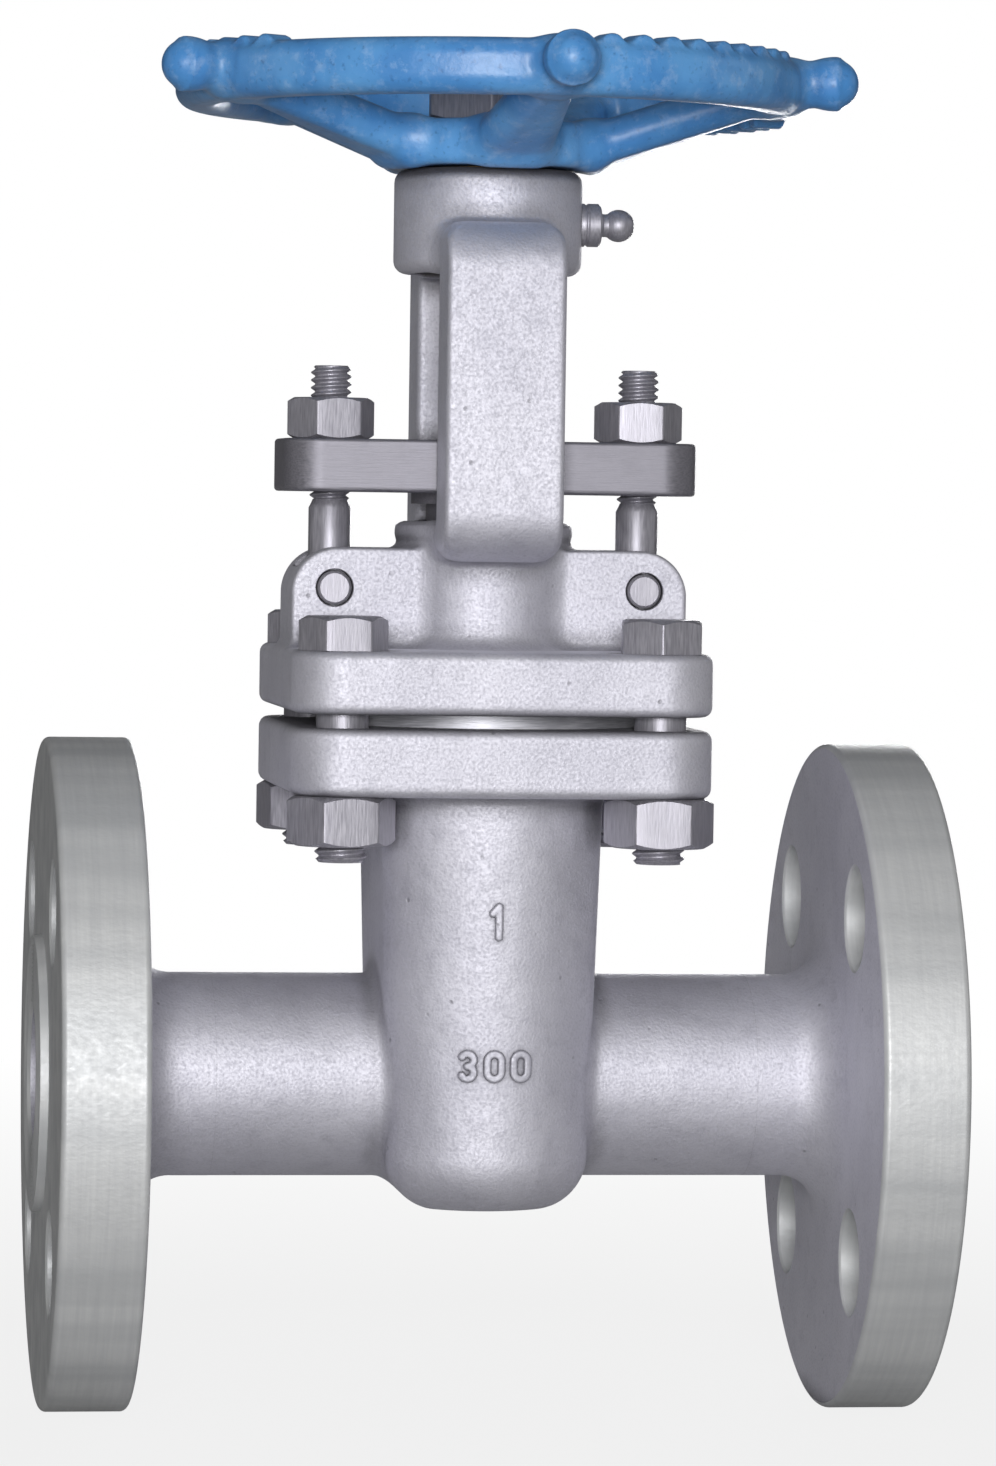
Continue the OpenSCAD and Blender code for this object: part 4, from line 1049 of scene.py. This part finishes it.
def sleeve():
    """Bronze yoke sleeve with its thread for the handwheel nut."""
    base, top = sleeve_low[2], sleeve_high[2]
    shelf = base + sleeve_flange_h
    body = [(sleeve_bore_r, base), (sleeve_flange_r - sleeve_edge, base),
            (sleeve_flange_r, base + sleeve_edge), (sleeve_flange_r, shelf - sleeve_edge),
            (sleeve_flange_r - sleeve_edge, shelf), (sleeve_journal_r, shelf),
            (sleeve_journal_r, wheel_z), (sleeve_seat_r, wheel_z), (sleeve_seat_r, wheel_nut_low[2]),
            (sleeve_thread_r, wheel_nut_low[2]), (sleeve_thread_r, top - 0.8),
            (sleeve_thread_r - 0.6, top), (sleeve_bore_r, top)]
    piece("yoke_sleeve_turned", *turned(body, 72), "sleeve_bronze", "handwheel", ["yoke_sleeve"])


def nipple():
    """Grease nipple: collar, stepped base, waist and ball head with its small bore."""
    tip = nipple_high[0] - nipple_seat_x
    profile = [(2.9, -6), (2.9, 0), (3.9, 0), (4, 0.2), (4, 1), (3.75, 1.25), (3.75, 1.45), (4, 1.7),
               (4, 3.6), (3.6, 4), (2.7, 4), (2.15, 4.5), (2.1, 4.9), *arc(0, tip - 3, 3, -44, 62, 10),
               (1, tip - 0.25), (0.6, tip - 0.3), (0.5, tip - 0.9)]
    p, f = along_x(turned(profile, 48, False))
    piece("grease_nipple_turned", p + (nipple_seat_x, 0, nipple_z), f, "bolt_steel", "root",
          ["grease_nipple"])


def packing():
    """The four graphite packing rings, which the gland squeezes when it is tightened; here each keeps one
    fixed shape.
    """
    for i in range(1, 5):
        low, high = (v[2] for v in span("packing_ring_%d" % i))
        left, right = ring_bore_r + ring_edge, ring_r - ring_edge
        foot, head = low + ring_edge, high - ring_edge
        profile = []
        for cx, cz, start in ((left, foot, 180), (right, foot, 270), (right, head, 0), (left, head, 90)):
            profile += arc(cx, cz, ring_edge, start, start + 90, 3)
        obj = piece("packing_ring_%d_pressed" % i, *turned(profile, 64), "graphite", "root",
                    ["packing_ring_%d" % i])
        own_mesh(obj)


fasteners()
pin_seats()
stem()
sleeve()
nipple()
packing()


# Studio

def floor():
    """A pale floor under the flanges; the camera sees it almost white, with a soft shadow."""
    size = 6000
    low = body_low[2]
    mesh = bpy.data.meshes.new("studio_floor")
    mesh.from_pydata(place([(-size, -size, low), (size, -size, low), (size, size, low),
                            (-size, size, low)]).tolist(), [], [(0, 1, 2, 3)])
    obj = bpy.data.objects.new("studio_floor", mesh)
    bpy.context.scene.collection.objects.link(obj)
    material = bpy.data.materials.new("white_paper_floor")
    material.use_nodes = True
    tree = material.node_tree
    tree.nodes.clear()
    paper = add(tree, "ShaderNodeBsdfDiffuse", {"Color": linear("#a0a0a0")})
    glow = add(tree, "ShaderNodeEmission", {"Color": (1, 1, 1, 1), "Strength": 1})
    where = add(tree, "ShaderNodeTexCoord").outputs["Object"]
    from_valve = add(tree, "ShaderNodeVectorMath", {0: where, 1: place((0, 0, low))}, operation="DISTANCE")
    # The shadow shows near the valve, and the paper fades to the white of the backdrop
    fade = add(tree, "ShaderNodeMapRange", {
        "Value": from_valve.outputs["Value"], "From Min": 150 * MM, "From Max": 700 * MM,
        "To Min": 0.85, "To Max": 1})
    path = add(tree, "ShaderNodeLightPath")
    seen = add(tree, "ShaderNodeMath", {0: path.outputs["Is Camera Ray"], 1: fade.outputs[0]},
               operation="MULTIPLY")
    # Gloss sees the paper at a tenth of white, as it lies in the valve's own shade
    gloss = add(tree, "ShaderNodeMath", {0: path.outputs["Is Glossy Ray"], 1: 0.1}, operation="MULTIPLY")
    for more in (gloss.outputs[0], path.outputs["Is Transmission Ray"]):
        seen = add(tree, "ShaderNodeMath", {0: seen.outputs[0], 1: more}, operation="MAXIMUM")
    mix = add(tree, "ShaderNodeMixShader", {0: seen.outputs[0], 1: paper.outputs[0], 2: glow.outputs[0]})
    add(tree, "ShaderNodeOutputMaterial", {"Surface": mix.outputs[0]})
    mesh.materials.append(material)


def lamp(name, where, target, size, watts):
    """A square soft lamp, aimed at a point, its place and size in millimetres."""
    light = bpy.data.lights.new(name, "AREA")
    light.shape, light.size, light.energy = "SQUARE", size * MM, watts
    obj = bpy.data.objects.new(name, light)
    bpy.context.scene.collection.objects.link(obj)
    obj.location = place(where)
    aim = Vector(place(target)) - obj.location
    obj.rotation_euler = aim.to_track_quat("-Z", "Y").to_euler()


def studio():
    """White surround for the camera, dim fill for the rest, and soft lamps all round and above."""
    world = bpy.data.worlds.new("studio")
    bpy.context.scene.world = world
    world.use_nodes = True
    tree = world.node_tree
    tree.nodes.clear()
    white = add(tree, "ShaderNodeBackground", {"Color": (1, 1, 1, 1), "Strength": 1})
    fill = add(tree, "ShaderNodeBackground", {"Color": (1, 1, 1, 1), "Strength": 0.06})
    path = add(tree, "ShaderNodeLightPath")
    # Gloss sees grey paper in front of the valve, and the unlit room beside and behind it
    way = add(tree, "ShaderNodeTexCoord").outputs["Generated"]
    way = add(tree, "ShaderNodeSeparateXYZ", {0: way}).outputs["Y"]
    front = add(tree, "ShaderNodeMapRange", {
        "Value": way, "From Min": -0.1, "From Max": -1, "To Min": 0.02, "To Max": 0.28}).outputs[0]
    gloss = add(tree, "ShaderNodeMath", {0: path.outputs["Is Glossy Ray"], 1: front}, operation="MULTIPLY")
    seen = add(tree, "ShaderNodeMath", {0: path.outputs["Is Camera Ray"],
                                        1: gloss.outputs[0]}, operation="MAXIMUM")
    seen = add(tree, "ShaderNodeMath", {0: seen.outputs[0],
                                        1: path.outputs["Is Transmission Ray"]}, operation="MAXIMUM")
    mix = add(tree, "ShaderNodeMixShader", {0: seen.outputs[0], 1: fill.outputs[0], 2: white.outputs[0]})
    add(tree, "ShaderNodeOutputWorld", {"Surface": mix.outputs[0]})
    lamp("front_lamp", (-200, -1500, 230), (0, 0, 60), 420, 15.5)
    lamp("back_lamp", (450, 1420, 200), (0, 0, 60), 400, 10)
    lamp("left_lamp", (-1300, 0, 500), (0, 0, 60), 600, 0.9)
    lamp("right_lamp", (1300, 0, 500), (0, 0, 60), 600, 0.9)
    lamp("top_lamp", (60, -100, 1300), (0, 0, 60), 500, 0.6)


def camera():
    """The photograph's view, from a pinhole camera fitted to about fifty of its points."""
    where = (-149.76, -1119.06, 105.08)
    yaw, pitch, roll = 0.13592, 0.03682, 0.01459
    focal_px, long_side_px, sensor_mm = 6089.3, 1466, 36
    forward = Vector((sin(yaw) * cos(pitch), cos(yaw) * cos(pitch), -sin(pitch)))
    level = Vector((cos(yaw), -sin(yaw), 0))
    upright = level.cross(forward)
    right = level * cos(roll) + upright * sin(roll)
    up = upright * cos(roll) - level * sin(roll)
    data = bpy.data.cameras.new("photo_view")
    data.sensor_width = sensor_mm
    data.lens = focal_px * sensor_mm / long_side_px
    data.clip_start, data.clip_end = 0.01, 50
    obj = bpy.data.objects.new("photo_view", data)
    bpy.context.scene.collection.objects.link(obj)
    turn = Matrix((right, up, -forward)).transposed().to_4x4()
    obj.matrix_world = Matrix.Translation(Vector(place(where))) @ turn
    bpy.context.scene.camera = obj


floor()
studio()
camera()
bpy.context.scene.view_settings.view_transform = "Standard"
